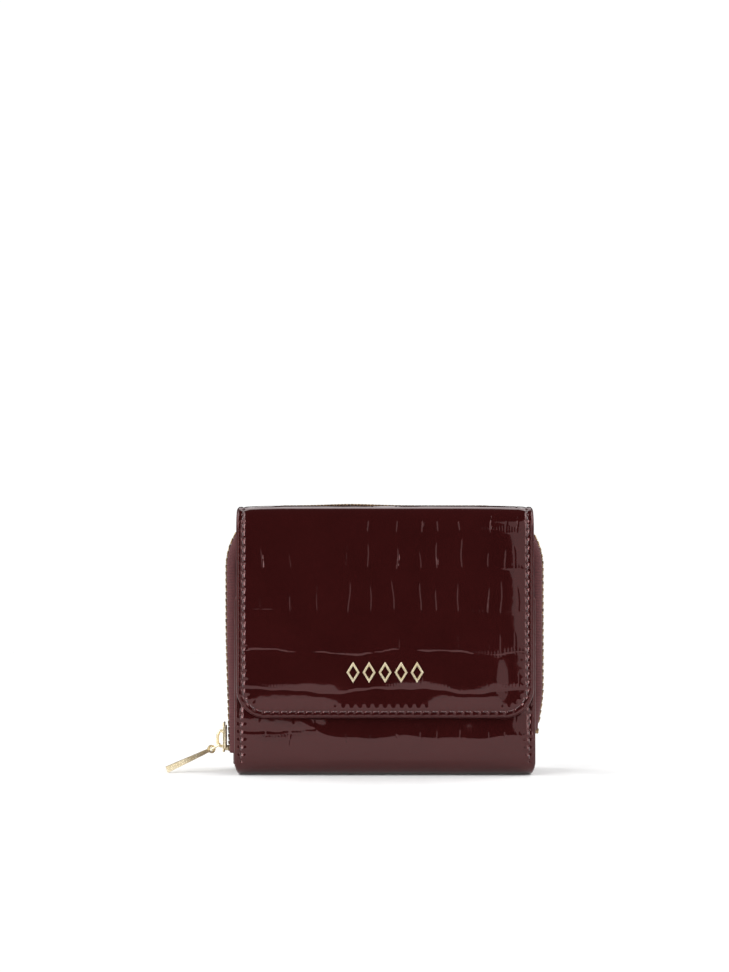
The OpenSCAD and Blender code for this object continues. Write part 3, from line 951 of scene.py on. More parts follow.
@dataclass(frozen=True)
class Metal:
    """Plated or plain metal with fine handling marks.

    Attributes:
        name: The material's name.
        colour: Its reflected colour.
        dull: Colour of its tarnished patches.
        rough: Lowest roughness.
        spread: How much the roughness varies.
        metallic: How far it mirrors rather than scatters.
    """

    name: str
    colour: tuple[float, float, float]
    dull: tuple[float, float, float]
    rough: float = 0.12
    spread: float = 0.14
    metallic: float = 1.0

    def material(self) -> bpy.types.Material:
        """Builds the material."""
        tree = Tree(self.name)
        where = tree.place(False)
        cloud = tree.noise(where, 500, 4)
        marks = tree.noise(where, 2400, 2)
        tree.set(Base_Color=tree.ramp(cloud, self.dull, self.colour, 0.3, 0.6), Metallic=self.metallic,
                 Roughness=tree.span(marks, self.rough, self.rough + self.spread),
                 Normal=tree.bump(marks, 0.00001))
        return tree.material


@dataclass(frozen=True)
class Fibreboard:
    """Pressed paper board with visible fibres."""

    name: str = "fibreboard"

    def material(self) -> bpy.types.Material:
        """Builds the material."""
        tree = Tree(self.name)
        fibre = tree.noise(tree.place(False), 1500, 5)
        tree.set(Base_Color=tree.ramp(fibre, (0.17, 0.13, 0.09), (0.34, 0.27, 0.2)), Roughness=0.9,
                 Normal=tree.bump(fibre, 0.00006))
        return tree.material


@dataclass(frozen=True)
class Finishes:
    """Every finish of the wallet, built once."""

    patent: bpy.types.Material
    paint: bpy.types.Material
    flesh: bpy.types.Material
    inside: bpy.types.Material
    inside_flat: bpy.types.Material
    cloth: bpy.types.Material
    tape: bpy.types.Material
    thread: bpy.types.Material
    gold: bpy.types.Material
    brass: bpy.types.Material
    steel: bpy.types.Material
    magnet: bpy.types.Material
    board: bpy.types.Material

    @staticmethod
    def build() -> "Finishes":
        """Builds them all."""
        wine, rose = (0.05, 0.008, 0.01), (0.062, 0.0098, 0.0122)
        return Finishes(
            patent=Patent().material(),
            paint=EdgePaint().material(),
            flesh=Grained("leather_flesh_side", (0.07, 0.02, 0.02), (0.11, 0.035, 0.033), 0.7,
                          True).material(),
            inside=Grained("inner_leather", wine, rose).material(),
            inside_flat=Grained("inner_leather_lining", wine, rose, flat=True).material(),
            # In both woven finishes the first colour is painted shade between the yarns.
            cloth=Woven("lining_cloth", (0.022, 0.004, 0.006), (0.07, 0.014, 0.018)).material(),
            tape=Woven("zip_tape_cloth", (0.036, 0.0085, 0.0095), (0.125, 0.031, 0.034), 0.55 * MM, 1.0,
                       True).material(),
            thread=Thread().material(),
            gold=Metal("pale_gold_plate", (0.84, 0.74, 0.52), (0.76, 0.63, 0.39), 0.2, 0.12,
                       0.62).material(),
            brass=Metal("zip_brass", (0.36, 0.25, 0.14), (0.13, 0.085, 0.05), 0.22, 0.2).material(),
            steel=Metal("bright_steel", (0.6, 0.6, 0.6), (0.42, 0.42, 0.43), 0.25).material(),
            magnet=Metal("nickel_magnet", (0.55, 0.54, 0.52), (0.4, 0.39, 0.38), 0.3).material(),
            board=Fibreboard().material(),
        )


# ---- How a piece joins the frame ----


@dataclass(frozen=True)
class Fold:
    """A fold that leather crosses, between two bodies.

    Attributes:
        still: The body that the leather leaves.
        moving: The body that it joins.
        start: Where it starts to turn.
        end: Where it has turned fully.
    """

    still: str
    moving: str
    start: tuple[float, float, float]
    end: tuple[float, float, float]


def attach(made: bpy.types.Object, to: "str | Fold", slot: Slot, *nodes: str) -> bpy.types.Object:
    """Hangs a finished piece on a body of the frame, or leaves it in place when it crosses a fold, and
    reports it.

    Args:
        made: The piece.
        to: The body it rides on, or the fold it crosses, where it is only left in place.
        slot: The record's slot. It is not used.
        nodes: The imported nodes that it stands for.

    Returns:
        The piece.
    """
    if isinstance(to, Fold):
        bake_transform(made)
    else:
        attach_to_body(made, to)
    if nodes:
        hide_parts(*nodes)
    LOG.info("%s: %d faces, stands for %s", made.name, len(made.data.polygons), ", ".join(nodes) or "itself")
    return made


def dress(node: str, material: bpy.types.Material, bevel: float = 0.0) -> None:
    """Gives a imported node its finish.

    Args:
        node: The node's name.
        material: Its finish.
        bevel: Width of a soft edge, or 0 for none.
    """
    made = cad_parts[node]
    made.data.materials.clear()
    made.data.materials.append(material)
    if bevel:
        soft = made.modifiers.new("soft_edges", "BEVEL")
        soft.width, soft.segments, soft.limit_method = bevel, 2, "ANGLE"
        soft.angle_limit = math.radians(40)
        soft.harden_normals = True
    LOG.info("%s: packed shape with %s", node, material.name)


def bead(name: str, outline: Outline, profile: Profile, depth: float) -> Piece:
    """Makes the round painted edge of a laminated sheet.

    Args:
        name: The piece's name.
        outline: The sheet's outline.
        profile: The sheet's profile.
        depth: Thickness of the laminate.

    Returns:
        The bead along both sides and the free end.
    """
    reach = outline.reach(0)
    distances = np.linspace(-reach, reach, 2 * round(reach / (0.55 * MM)) + 1)
    spots, out = outline.walk(0.0, distances)
    turn = HALF_TURN
    nose = min(depth / 2, 1.25 * MM)
    inset = nose * (1 - np.cos(turn))
    height = -depth / 2 - (depth / 2 + 0.03 * MM) * np.sin(turn)
    uneven = 1 + 0.04 * np.sin(distances / (3.1 * MM)) * np.sin(distances / (7.3 * MM))
    x = spots[:, :1] - out[:, :1] * inset * uneven[:, None]
    s = spots[:, 1:] - out[:, 1:] * inset * uneven[:, None]
    up = np.repeat(height[None], len(distances), 0)
    points = profile.place(x.ravel(), s.ravel(), up.ravel())
    faces = turned(tube_faces(len(distances), len(turn)), profile.side < 0)
    return Piece(name, points, faces, strip(distances, turn * nose))


@dataclass
class Cover:
    """A laminated cover that bends across a fold: hide, painted edge and a row of stitches.

    Attributes:
        name: Start of its pieces' names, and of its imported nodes' names.
        finish: The finishes.
        outline: The laminate's outline.
        profile: The profile of its outer face.
        turn: The fold that it crosses.
        stitches: Its row of stitches.
        laminate: Thickness of the laminate.
        steps: Grid steps of the hide.
        stop: How far from the other end the stitches stop.
    """

    name: str
    finish: Finishes
    outline: Outline
    profile: Profile
    turn: Fold
    stitches: Stitching
    laminate: float
    steps: tuple[float, float]
    stop: float

    def build(self, top: Heights, *nodes: str) -> None:
        """Builds the three pieces.

        Args:
            top: Height of the hide's outer face.
            nodes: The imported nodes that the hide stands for.
        """
        hide = Sheet(self.outline.inset(SET_IN), self.profile, top, level(-HIDE), self.steps, SET_IN)
        made = hide.mesh(f"{self.name}_croc").make(self.finish.patent, self.finish.flesh)
        attach(made, self.turn, Slot.CROC, *nodes)
        edge = bead(f"{self.name}_painted_edge", self.outline, self.profile, self.laminate)
        paint = attach(edge.make(self.finish.paint), self.turn, Slot.CROC)
        thread = self.stitches.thread(f"{self.name}_thread", self.outline, self.profile, self.stop, top)
        sewn = attach(thread.make(self.finish.thread), self.turn, Slot.THREAD, f"{self.name}_stitching")
        hide.declare(made, "folded", f"{self.name}_stiffener", paint, sewn)


# ---- Top fold and flap ----


@dataclass
class TopFold:
    """The half round that carries the flap over the top of the wallet, seen from its side.

    Attributes:
        seam: Angle above +Y where the rear and the front leather meet.
        leather: Thickness of the leather.
        gap: Gap between the leather and its lining.
        lining: Thickness of the lining.
    """

    seam: float = 80.0
    leather: float = 1.2 * MM
    gap: float = 0.1 * MM
    lining: float = 0.6 * MM
    front: Extent = field(default_factory=lambda: Extent.of("flap_leather"))
    anchor: Extent = field(default_factory=lambda: Extent.of("flap_anchor"))
    spine: Extent = field(default_factory=lambda: Extent.of("top_spine_leather"))

    @property
    def rear_y(self) -> float:
        """Plane of the anchor's rear face."""
        return self.anchor.high.y

    @property
    def radius(self) -> float:
        """Outer radius of the fold."""
        return (self.rear_y - self.front.low.y) / 2

    @property
    def centre(self) -> tuple[float, float]:
        """Centre of the fold in Y and Z."""
        return (self.rear_y + self.front.low.y) / 2, self.spine.high.z - self.radius

    def spot(self, angle: float) -> tuple[float, float, float]:
        """A point of the fold's outer face at an angle above +Y."""
        turn, (y, z) = math.radians(angle), self.centre
        return 0.0, y + self.radius * math.cos(turn), z + self.radius * math.sin(turn)

    def rear(self) -> Fold:
        """The rear half's fold."""
        return Fold("root", "top_spine", self.spot(6), self.spot(self.seam))

    def fore(self) -> Fold:
        """The front half's fold."""
        return Fold("top_spine", "flap", self.spot(96), self.spot(174))


CREASES = tuple(MM * place for place in
                (-51.5, -43.0, -33.3, -24.2, -13.3, -4.9, 4.2, 12.2, 17.8, 26.6, 36.4, 41.6, 46.2))


@dataclass
class Flap:
    """The front flap with the leather that runs over the top fold, its lining, stitches and emblem."""

    fold: TopFold
    finish: Finishes
    corner: float = 10.5 * MM
    laminate: float = 2.6 * MM
    pillow: float = 0.5 * MM
    margin: float = 5.0 * MM
    bars: int = 5
    bar_pitch: float = 5.6 * MM
    stitches: Stitching = field(default_factory=lambda: Stitching(2.93 * MM))

    def __post_init__(self) -> None:
        """Works out the profile and the outline from the frame."""
        cut = self.fold.front
        self.upright = self.fold.centre[1] - cut.low.z
        self.profile = Profile((
            Straight((cut.low.y, cut.low.z), (cut.low.y, self.fold.centre[1])),
            Bend(self.fold.centre, self.fold.radius, 180, self.fold.seam - 180),
        ))
        self.outline = Outline(cut.high.x, self.corner, self.profile.length)
        self.skin = Croc(
            furrows((9.6, 0.22, 0.8, 0.12, 0.25, 0.3), (22.9, 0.2, 0.8, 0.08, 0.45, 0.35),
                    (37.1, 0.13, 0.5, 0.05, 1.05, 1.05), (52.5, 0.11, 0.4, 0.03, 1.1, 1.2),
                    (65.2, 0.11, 0.3, 0.03, 0.1, 1.2), (76.5, 0.1, 0.3, 0.02, 0.1, 1.2)),
            CREASES, seed=11)

    def top(self, x: np.ndarray, s: np.ndarray) -> np.ndarray:
        """Height of the flap's outer face: scales, a padded middle and the stitch groove."""
        inset, along = self.outline.edge(x, s, self.stitches.inset)
        away = np.maximum(inset - self.stitches.inset, 0)
        cell = self.skin.cell(x, s)
        soft = self.pillow * (1 - np.exp(-away / (self.margin * (1.2 - 0.4 * cell))))
        full = smooth(x, -50 * MM, -43 * MM) - smooth(x, -24 * MM, -12 * MM)
        full += smooth(x, 12 * MM, 20 * MM) - smooth(x, 38 * MM, 44 * MM)
        soft *= 1 - 0.72 * (1 - full) * (1 - smooth(s, 8 * MM, 32 * MM))
        scales = self.skin.height(x, s) * smooth(inset, 1.6 * MM, 4.5 * MM)
        return soft + scales + self.stitches.press(inset, along)

    def depth(self, s: np.ndarray) -> np.ndarray:
        """Depth of the lining's outer side below the profile: over the board, then close to the fold."""
        flat = self.laminate - self.fold.lining
        return flat + (self.fold.leather + self.fold.gap - flat) * smooth(
            s, self.upright - 3.4 * MM, self.upright + 3 * MM)

    def build(self) -> None:
        """Builds every piece of the flap."""
        turn = self.fold.fore()
        cover = Cover("flap", self.finish, self.outline, self.profile, turn, self.stitches, self.laminate,
                      (0.25 * MM, 0.48 * MM), 1 * MM)
        cover.build(self.top, "flap_leather")
        self._lining(turn)
        self._emblem()

    def _lining(self, turn: Fold) -> None:
        """Builds the lining on the flap's back, which runs up inside the fold."""
        sheet = Sheet(
            self.outline.inset(1.1 * MM), self.profile,
            lambda x, s: -self.depth(s),
            lambda x, s: -self.depth(s) - self.fold.lining * smooth(
                self.outline.edge(x, s, 0)[0], 0.9 * MM, 1.6 * MM),
            (1.1 * MM, 0.9 * MM), 1.1 * MM)
        made = sheet.mesh("flap_inner_lining").make(self.finish.inside_flat, self.finish.inside_flat)
        attach(made, turn, Slot.SMOOTH, "flap_lining")
        sheet.declare(made, "laid", "flap_stiffener")

    def _emblem(self) -> None:
        """Builds the row of open lozenges, each a bevelled frame."""
        cad = Extent.of("emblem")
        middle_z, half_h = (cad.low.z + cad.high.z) / 2, (cad.high.z - cad.low.z) / 2
        half_w = (cad.high.x - cad.low.x - (self.bars - 1) * self.bar_pitch) / 2
        front, back = cad.low.y - 0.25 * MM, cad.high.y + 0.05 * MM
        hole = 1 - 1.5 * MM * math.hypot(2 * half_w, 2 * half_h) / (4 * half_w * half_h)
        edge = 0.08
        rings = ((1.0, back), (1.0, front + 0.22 * MM), (1.0 - edge, front),
                 (hole + edge, front), (hole, front + 0.22 * MM), (hole, back))
        parts = []
        for number in range(self.bars):
            x = (number - (self.bars - 1) / 2) * self.bar_pitch
            points = [
                (x + size * half_w * math.cos(turn), y, middle_z + size * half_h * math.sin(turn))
                for size, y in rings for turn in np.arange(4) * math.pi / 2
            ]
            faces = tube_faces(len(rings), 4, capped=False)
            faces += [(20 + i, 20 + (i + 1) % 4, (i + 1) % 4, i) for i in range(4)]
            parts.append(Piece("lozenge", np.array(points), faces, sharp=True))
        row = join("emblem_lozenges", parts)
        row.sharp = True
        attach(row.make(self.finish.gold), "flap", Slot.GOLD, "emblem")


@dataclass
class TopRear:
    """The rear of the top fold and the leather that is sewn into the centre wall below it."""

    fold: TopFold
    finish: Finishes

    def build(self) -> None:
        """Builds the rear leather, its painted edge, its stitches and the lining inside it."""
        cut, fold = self.fold.anchor, self.fold
        profile = Profile((
            Bend(fold.centre, fold.radius, fold.seam, -fold.seam),
            Straight((fold.rear_y, fold.centre[1]), (fold.rear_y, cut.low.z)),
        ))
        outline = Outline(cut.high.x, 0.2 * MM, profile.length)
        stitches = Stitching(2.93 * MM)
        skin = Croc(furrows(*((s, 0.04, 0.3, 0.03) for s in (7, 20))), CREASES, seed=12)

        def top(x: np.ndarray, s: np.ndarray) -> np.ndarray:
            """Height of the rear leather's outer face."""
            inset = outline.half - np.abs(x)
            soft = 0.5 * MM * (1 - np.exp(-np.maximum(inset - stitches.inset, 0) / (5 * MM)))
            fade = 1 - smooth(s, fold.radius * 0.5, fold.radius * 1.2)
            press = stitches.press(inset, s + 1.2 * MM)
            return (soft + skin.height(x, s) * smooth(inset, 1.6 * MM, 4.5 * MM)) * fade + press * fade

        hide = Sheet(Outline(cut.high.x - SET_IN, 0.2 * MM, profile.length), profile, top, level(-HIDE),
                     (0.6 * MM, 0.3 * MM))
        made = hide.mesh("top_fold_croc").make(self.finish.patent, self.finish.flesh)
        attach(made, fold.rear(), Slot.CROC, "top_spine_leather", "flap_anchor")
        edges = [self._edge(profile, side, f"top_fold_edge_{name}")
                 for side, name in ((-1, "left"), (1, "right"))]
        hide.declare(made, "folded", "centre_board", *edges)
        self._lining(profile)

    def _edge(self, profile: Profile, side: int, name: str) -> bpy.types.Object:
        """Builds the painted edge on one side."""
        s = np.linspace(0, profile.length, 90)
        turn = HALF_TURN
        depth = 2.6 * MM - (2.6 - 1.9) * MM * smooth(s, 0.6 * self.fold.radius, 1.2 * self.fold.radius)
        inset = 1.25 * MM * (1 - np.cos(turn))
        x = side * (self.fold.anchor.high.x - np.repeat(inset[None], len(s), 0))
        up = -depth[:, None] / 2 - (depth[:, None] / 2 + 0.03 * MM) * np.sin(turn)
        along = np.repeat(s[:, None], len(turn), 1)
        points = profile.place(x.ravel(), along.ravel(), up.ravel())
        piece = Piece(name, points, turned(tube_faces(len(s), len(turn)), side > 0), points)
        return attach(piece.make(self.finish.paint), self.fold.rear(), Slot.CROC)

    def _lining(self, profile: Profile) -> None:
        """Builds the lining inside the rear half of the fold."""
        low = self.fold.leather + self.fold.gap
        round_s = self.fold.radius * math.radians(self.fold.seam)
        outline = Outline(self.fold.anchor.high.x - 1.1 * MM, 0.2 * MM, round_s + 2 * MM)
        sheet = Sheet(outline, profile, level(-low), level(-low - self.fold.lining), (2 * MM, 0.5 * MM))
        made = sheet.mesh("top_fold_lining").make(self.finish.inside_flat, self.finish.inside_flat)
        attach(made, self.fold.rear(), Slot.SMOOTH, "top_spine_lining")
        sheet.declare(made, "laid", "top_fold_croc")


# ---- Front panel and pouch back, which both turn under the bottom ----


def under_bottom(y: float, top: float, radius: float, side: int) -> Profile:
    """The profile of a panel that stands up and turns under the wallet to the middle of its bottom.

    Args:
        y: Plane of its outer face.
        top: Height of its free end.
        radius: Radius of its bottom bend.
        side: 1 for a face at the back, -1 for a face at the front.

    Returns:
        The profile, drawn in a little where it turns.
    """
    base = Extent.of("bottom_spine_leather")
    centre = (y - side * radius, radius)
    middle = (base.low.y + base.high.y) / 2 + 2 * MM
    bend = Bend(centre, radius, 0, -90) if side > 0 else Bend(centre, radius, 180, 90)
    stretches = (Straight((y, top), (y, radius)), bend, Straight((centre[0], 0.0), (middle, 0.0)))
    return Profile(stretches, side, 0.014, (top - 4.5 * MM, top + 1.5 * MM))


@dataclass
class FrontPanel:
    """The front panel, with the leather that turns under the wallet to the middle of its bottom."""

    finish: Finishes
    corner: float = 2.5 * MM
    radius: float = 5.0 * MM
    laminate: float = 2.4 * MM
    belly: float = 1.4 * MM
    stitches: Stitching = field(default_factory=lambda: Stitching(2.7 * MM, seat=0.26 * MM))

    def __post_init__(self) -> None:
        """Works out the profile and the outline from the frame."""
        self.face = face = Extent.of("front_panel_leather")
        self.profile = under_bottom(face.low.y, face.high.z, self.radius, -1)
        self.outline = Outline(face.high.x, self.corner, self.profile.length)
        rows = ((s, 0.05, 0.45, 0.06) for s in (12, 25.5, 38.5, 48, 62))
        self.skin = Croc(furrows(*rows), CREASES, seed=25)
        self.turn = Fold("root", "front_panel", (0, face.low.y + self.radius, 0),
                         (0, face.low.y, self.radius))

    def top(self, x: np.ndarray, s: np.ndarray) -> np.ndarray:
        """Height of the panel's outer face: scales, a belly and the stitch groove.

        Args:
            x: Places across.
            s: Distances from the free end.

        Returns:
            The heights above the profile.
        """
        inset, along = self.outline.edge(x, s, self.stitches.inset)
        away = np.maximum(inset - self.stitches.inset, 0)
        rise = self.face.high.z - s
        right = smooth(x, -38 * MM, -14 * MM)
        ragged = 0.7 * MM * np.sin(x / (4.1 * MM)) * np.sin(x / (11 * MM) + 1)
        start = 14 * MM + 7 * MM * (1 - right) + ragged
        belly = self.belly * (0.6 + 0.4 * right) * (1 - smooth(rise, start, start + 7 * MM))
        belly *= 1 - smooth(s, self.face.high.z - 6 * MM, self.face.high.z + 2.5 * MM)
        flat = 1 - smooth(s, self.face.high.z - 6 * MM, self.face.high.z + 2 * MM)
        soft = 0.25 * MM * (1 - np.exp(-away / (3.5 * MM)))
        scales = self.skin.height(x, s) * smooth(inset, 1.6 * MM, 4.5 * MM) * (0.35 + 0.65 * flat)
        row = 1 - smooth(s, self.face.high.z - 5 * MM, self.face.high.z - 3 * MM)
        edge = smooth(inset, 0.5 * MM, 3 * MM)
        return belly * (0.75 + 0.25 * edge) + (soft + scales) * np.maximum(flat, 0.15) + self.stitches.press(
            inset, along) * row

    def build(self) -> None:
        """Builds the leather, its painted edge and its stitches."""
        cover = Cover("front_panel", self.finish, self.outline, self.profile, self.turn, self.stitches,
                      self.laminate, (0.26 * MM, 0.5 * MM), self.outline.length - self.face.high.z + 5 * MM)
        cover.build(self.top, "front_panel_leather", "bottom_spine_leather")


@dataclass
class PouchBack:
    """The back of the coin pouch, with the leather that turns under the wallet from behind."""

    finish: Finishes
    corner: float = 18.2 * MM
    radius: float = 4.0 * MM
    laminate: float = 2.4 * MM
    stitches: Stitching = field(default_factory=lambda: Stitching(2.7 * MM))

    def __post_init__(self) -> None:
        """Works out the profile and the outline from the frame."""
        self.face = face = Extent.of("pouch_back_leather")
        self.profile = under_bottom(face.high.y, face.high.z, self.radius, 1)
        self.outline = Outline(face.high.x, self.corner, self.profile.length)
        rows = ((s, 0.14, 0.7, 0.08) for s in (13, 26.5, 40.5, 53, 66.5, 79.5))
        self.skin = Croc(furrows(*rows), CREASES, seed=37)
        self.turn = Fold("root", "pouch_back", (0, face.high.y - self.radius, 0),
                         (0, face.high.y, self.radius))

    def top(self, x: np.ndarray, s: np.ndarray) -> np.ndarray:
        """Height of the back's outer face."""
        inset, along = self.outline.edge(x, s, self.stitches.inset)
        away = np.maximum(inset - self.stitches.inset, 0)
        flat = 1 - smooth(s, self.face.high.z - 9 * MM, self.face.high.z + 1 * MM)
        soft = 0.5 * MM * (1 - np.exp(-away / (5 * MM)))
        scales = self.skin.height(x, s) * smooth(inset, 1.6 * MM, 4.5 * MM)
        row = 1 - smooth(s, self.face.high.z - 7 * MM, self.face.high.z - 5 * MM)
        return (soft + scales) * np.maximum(flat, 0.12) + self.stitches.press(inset, along) * row

    def build(self) -> None:
        """Builds the leather, its painted edge and its stitches."""
        cover = Cover("pouch_back", self.finish, self.outline, self.profile, self.turn, self.stitches,
                      self.laminate, (0.36 * MM, 0.46 * MM), self.outline.length - self.face.high.z + 7 * MM)
        cover.build(self.top, "pouch_back_leather")


# ---- Zip ----


@dataclass
class ZipLine:
    """The zip's route round the pouch, from the left end up, over and down to the right end.

    Attributes:
        corner: Radius of the two upper corners.
        right_end: Height of the right end.
        crown: How far the top run arches up, and where across and how widely.
        tuck: How far the low ends draw in, on the left and on the right.
    """

    corner: float = 22 * MM
    right_end: float = 14 * MM
    crown: tuple[float, float, float] = (0.5 * MM, -12 * MM, 12 * MM)
    tuck: tuple[float, float] = (1.0 * MM, 2.0 * MM)
    slack: float = 0.8 * MM
    tape: Extent = field(default_factory=lambda: Extent.of("zip_tape_front"))

    def __post_init__(self) -> None:
        """Lays out the route."""
        half, top = self.tape.high.x, self.tape.high.z
        bend = top - self.corner
        arc = np.linspace(0, math.pi / 2, 60)
        left = np.linspace(self.tape.low.z, bend, 120)[:-1]
        right = np.linspace(bend, self.right_end, 110)[1:]
        run = np.linspace(self.corner - half, half - self.corner, 120)[1:-1]
        x = np.concatenate([np.full(len(left), -half), self.corner - half - self.corner * np.cos(arc), run,
                            half - self.corner + self.corner * np.sin(arc), np.full(len(right), half)])
        z = np.concatenate([left, bend + self.corner * np.sin(arc), np.full(len(run), top),
                            bend + self.corner * np.cos(arc), right])
        self.base = np.stack([x, z], 1)
        low_left = self.tuck[0] * (1 - smooth(z, 6 * MM, 56 * MM)) * (x < 0)
        low_right = self.tuck[1] * (1 - smooth(z, 10 * MM, 30 * MM)) * (x > 0)
        low_left += self.slack * (x < 0) * (1 - smooth(z, bend, top))
        low_right += self.slack * (x > 0) * (1 - smooth(z, bend, top))
        size, where, width = self.crown
        rise = size * np.exp(-(((x - where) / width) ** 2)) * smooth(z, bend, top)
        self.shift = np.stack([low_left - low_right, rise], 1)
        line = self.base + self.shift
        self.run = np.concatenate([[0], np.cumsum(np.linalg.norm(np.diff(line, axis=0), axis=1))])
        self.way = headings(line)
        self.out = np.stack([-self.way[:, 1], self.way[:, 0]], 1)

    def at(self, distance: np.ndarray, n: np.ndarray) -> tuple[np.ndarray, np.ndarray, np.ndarray]:
        """Places beside the route.

        Args:
            distance: Distances along it.
            n: How far outwards from it.

        Returns:
            The X-Z places, the outward directions and the directions of travel.
        """
        def mix(table: np.ndarray) -> np.ndarray:
            """The table's rows at the wanted distances."""
            return np.stack([np.interp(distance, self.run, table[:, i]) for i in range(2)], 1)

        share = np.clip((n + 5.2 * MM) / (4 * MM), 0, 1)
        out = mix(self.out)
        spot = mix(self.base) + mix(self.shift) * share[:, None] + out * n[:, None]
        return spot, out, mix(self.way)


@dataclass
class Zip:
    """The zip round the coin pouch: two tapes, two rows of teeth, stops, tabs, slider and puller."""

    finish: Finishes
    line: ZipLine = field(default_factory=ZipLine)
    pitch: float = 2.43 * MM
    tape_t: float = 0.6 * MM
    first_tooth: float = 3.4 * MM
    body: Extent = field(default_factory=lambda: Extent.of("slider_body"))

    def __post_init__(self) -> None:
        """Finds the closed zip's middle plane."""
        self.middle = (self.body.low.y + self.body.high.y) / 2
        self.tape_fold = Fold("root", "pouch_back", (0, self.middle + 0.4 * MM, 12 * MM),
                              (0, self.middle + 4.57 * MM, 12.535 * MM))
        self.row_fold = Fold("root", "pouch_back", (0, self.middle, 14 * MM), (0, self.middle, 46 * MM))

    def build(self) -> None:
        """Builds both tapes, both rows of teeth, the stops and the tabs."""
        self._tape("zip_front_tape", 1, "root", "zip_tape_front")
        self._tape("zip_back_tape", -1, self.tape_fold, "zip_tape_back", "zip_tape_back_end")
        self._teeth("zip_front_teeth", 1, 0.0, "root", "zip_teeth_front")
        self._teeth("zip_back_teeth", -1, 0.5, self.row_fold, "zip_teeth_back", "zip_teeth_back_end")
        self._stops()

    def _tape(self, name: str, side: int, to: "str | Fold", *nodes: str) -> None:
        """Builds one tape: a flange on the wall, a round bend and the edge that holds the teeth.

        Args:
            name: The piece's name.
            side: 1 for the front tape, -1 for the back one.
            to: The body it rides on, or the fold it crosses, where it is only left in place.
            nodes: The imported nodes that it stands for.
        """
        wall = self.line.tape.low.y + self.tape_t / 2
        turn = np.linspace(0, math.pi / 2, 9)
        reach, depth = 3.6 * MM, 2.2 * MM
        n = np.concatenate([[-5.2 * MM], -3.9 * MM + reach * np.sin(turn), [-0.3 * MM] * 3])
        y = np.concatenate([[wall], wall + depth * (1 - np.cos(turn)),
                            np.linspace(wall + depth, self.middle - 0.75 * MM, 4)[1:]])
        centre = np.stack([n, y], 1)
        way = headings(centre)
        off = np.stack([way[:, 1], -way[:, 0]], 1) * self.tape_t / 2
        section = np.vstack([centre + off, (centre - off)[::-1]])
        if side < 0:
            section[:, 1] = 2 * self.middle - section[:, 1]
            section = section[::-1]
        count = len(section)
        distance = np.arange(0.0, self.line.run[-1], 0.8 * MM)
        spot, _, _ = self.line.at(np.repeat(distance, count), np.tile(section[:, 0], len(distance)))
        points = np.column_stack([spot[:, 0], np.tile(section[:, 1], len(distance)), spot[:, 1]])
        piece = Piece(name, points, tube_faces(len(distance), count), strip(distance, girths(section)))
        attach(piece.make(self.finish.tape), to, Slot.TAPE, *nodes)

    def _tooth(self) -> Piece:
        """One tooth lying along travel, outwards and Y: two jaws on the tape and a scooped head."""
        blocks = (
            ((-0.48, -1.15, -0.75), (0.48, 0.62, 0.5), 0.16),
            ((-0.62, 0.02, -1.9), (0.62, 0.66, -0.6), 0.2),
            ((-0.62, -1.2, -1.9), (0.62, -0.6, -0.6), 0.2),
        )
        return join("tooth", [
            rounded_block("block", [MM * v for v in low], [MM * v for v in high], MM * radius, 2)
            for low, high, radius in blocks
        ])

    def _on_chain(self, piece: Piece, distances: np.ndarray, side: int, middle: float) -> list[Piece]:
        """Sets copies of a part on the chain.

        Args:
            piece: The part, lying along travel, outwards and Y.
            distances: Where along the chain the copies go.
            side: 1 as it lies, or -1 turned over in Y.
            middle: Plane of the part's zero in Y.

        Returns:
            The copies.
        """
        spot, out, way = self.line.at(distances, np.zeros(len(distances)))
        local, faces, parts = piece.points, turned(piece.faces, side < 0), []
        for place, outward, travel in zip(spot, out, way):
            points = np.stack([
                place[0] + local[:, 0] * travel[0] + local[:, 1] * outward[0],
                middle + side * local[:, 2],
                place[1] + local[:, 0] * travel[1] + local[:, 1] * outward[1],
            ], 1)
            parts.append(Piece(piece.name, points, faces, points))
        return parts

    def _teeth(self, name: str, side: int, start: float, to: "str | Fold", *nodes: str) -> None:
        """Builds one row of teeth."""
        count = int((self.line.run[-1] - self.first_tooth) / self.pitch)
        distance = self.first_tooth + (np.arange(count) + start) * self.pitch
        row = join(name, self._on_chain(self._tooth(), distance, side, self.middle))
        attach(row.make(self.finish.brass), to, Slot.BRASS, *nodes)

    def _stops(self) -> None:
        """Builds the pair of stops at the left end and the clip at the right end."""
        def clamp(distance: float, y0: float, y1: float, length: float) -> Piece:
            """One rounded clamp on the chain between two Y planes."""
            low, high = (-length / 2, -1.15 * MM, y0), (length / 2, 0.62 * MM, y1)
            block = rounded_block("clamp", low, high, 0.25 * MM)
            return self._on_chain(block, np.array([distance]), 1, 0.0)[0]

        y = self.middle
        top = [clamp(1.3 * MM, y - 1.85 * MM, y - 0.45 * MM, 2 * MM),
               clamp(1.3 * MM, y + 0.45 * MM, y + 1.85 * MM, 2 * MM)]
        attach(join("zip_end_stops", top).make(self.finish.brass), "root", Slot.BRASS, "zip_top_stops")
        low = clamp(self.line.run[-1] + 1.2 * MM, y - 1.85 * MM, y + 1.85 * MM, 1.9 * MM)
        low.name = "zip_end_clip"
        attach(low.make(self.finish.brass), "root", Slot.BRASS, "zip_bottom_stop")
        for side, draw in (("left", self.line.slack + self.line.tuck[0]),
                           ("right", -self.line.slack - self.line.tuck[1])):
            cad = Extent.of(f"zip_end_tab_{side}")
            tab = rounded_block(f"zip_tab_{side}", cad.low + Vector((draw, 0, 0)),
                                cad.high + Vector((draw, 0, 2.4 * MM)), 0.5 * MM)
            attach(tab.make(self.finish.inside), "root", Slot.SMOOTH, f"zip_end_tab_{side}")


# ---- Slider and puller ----


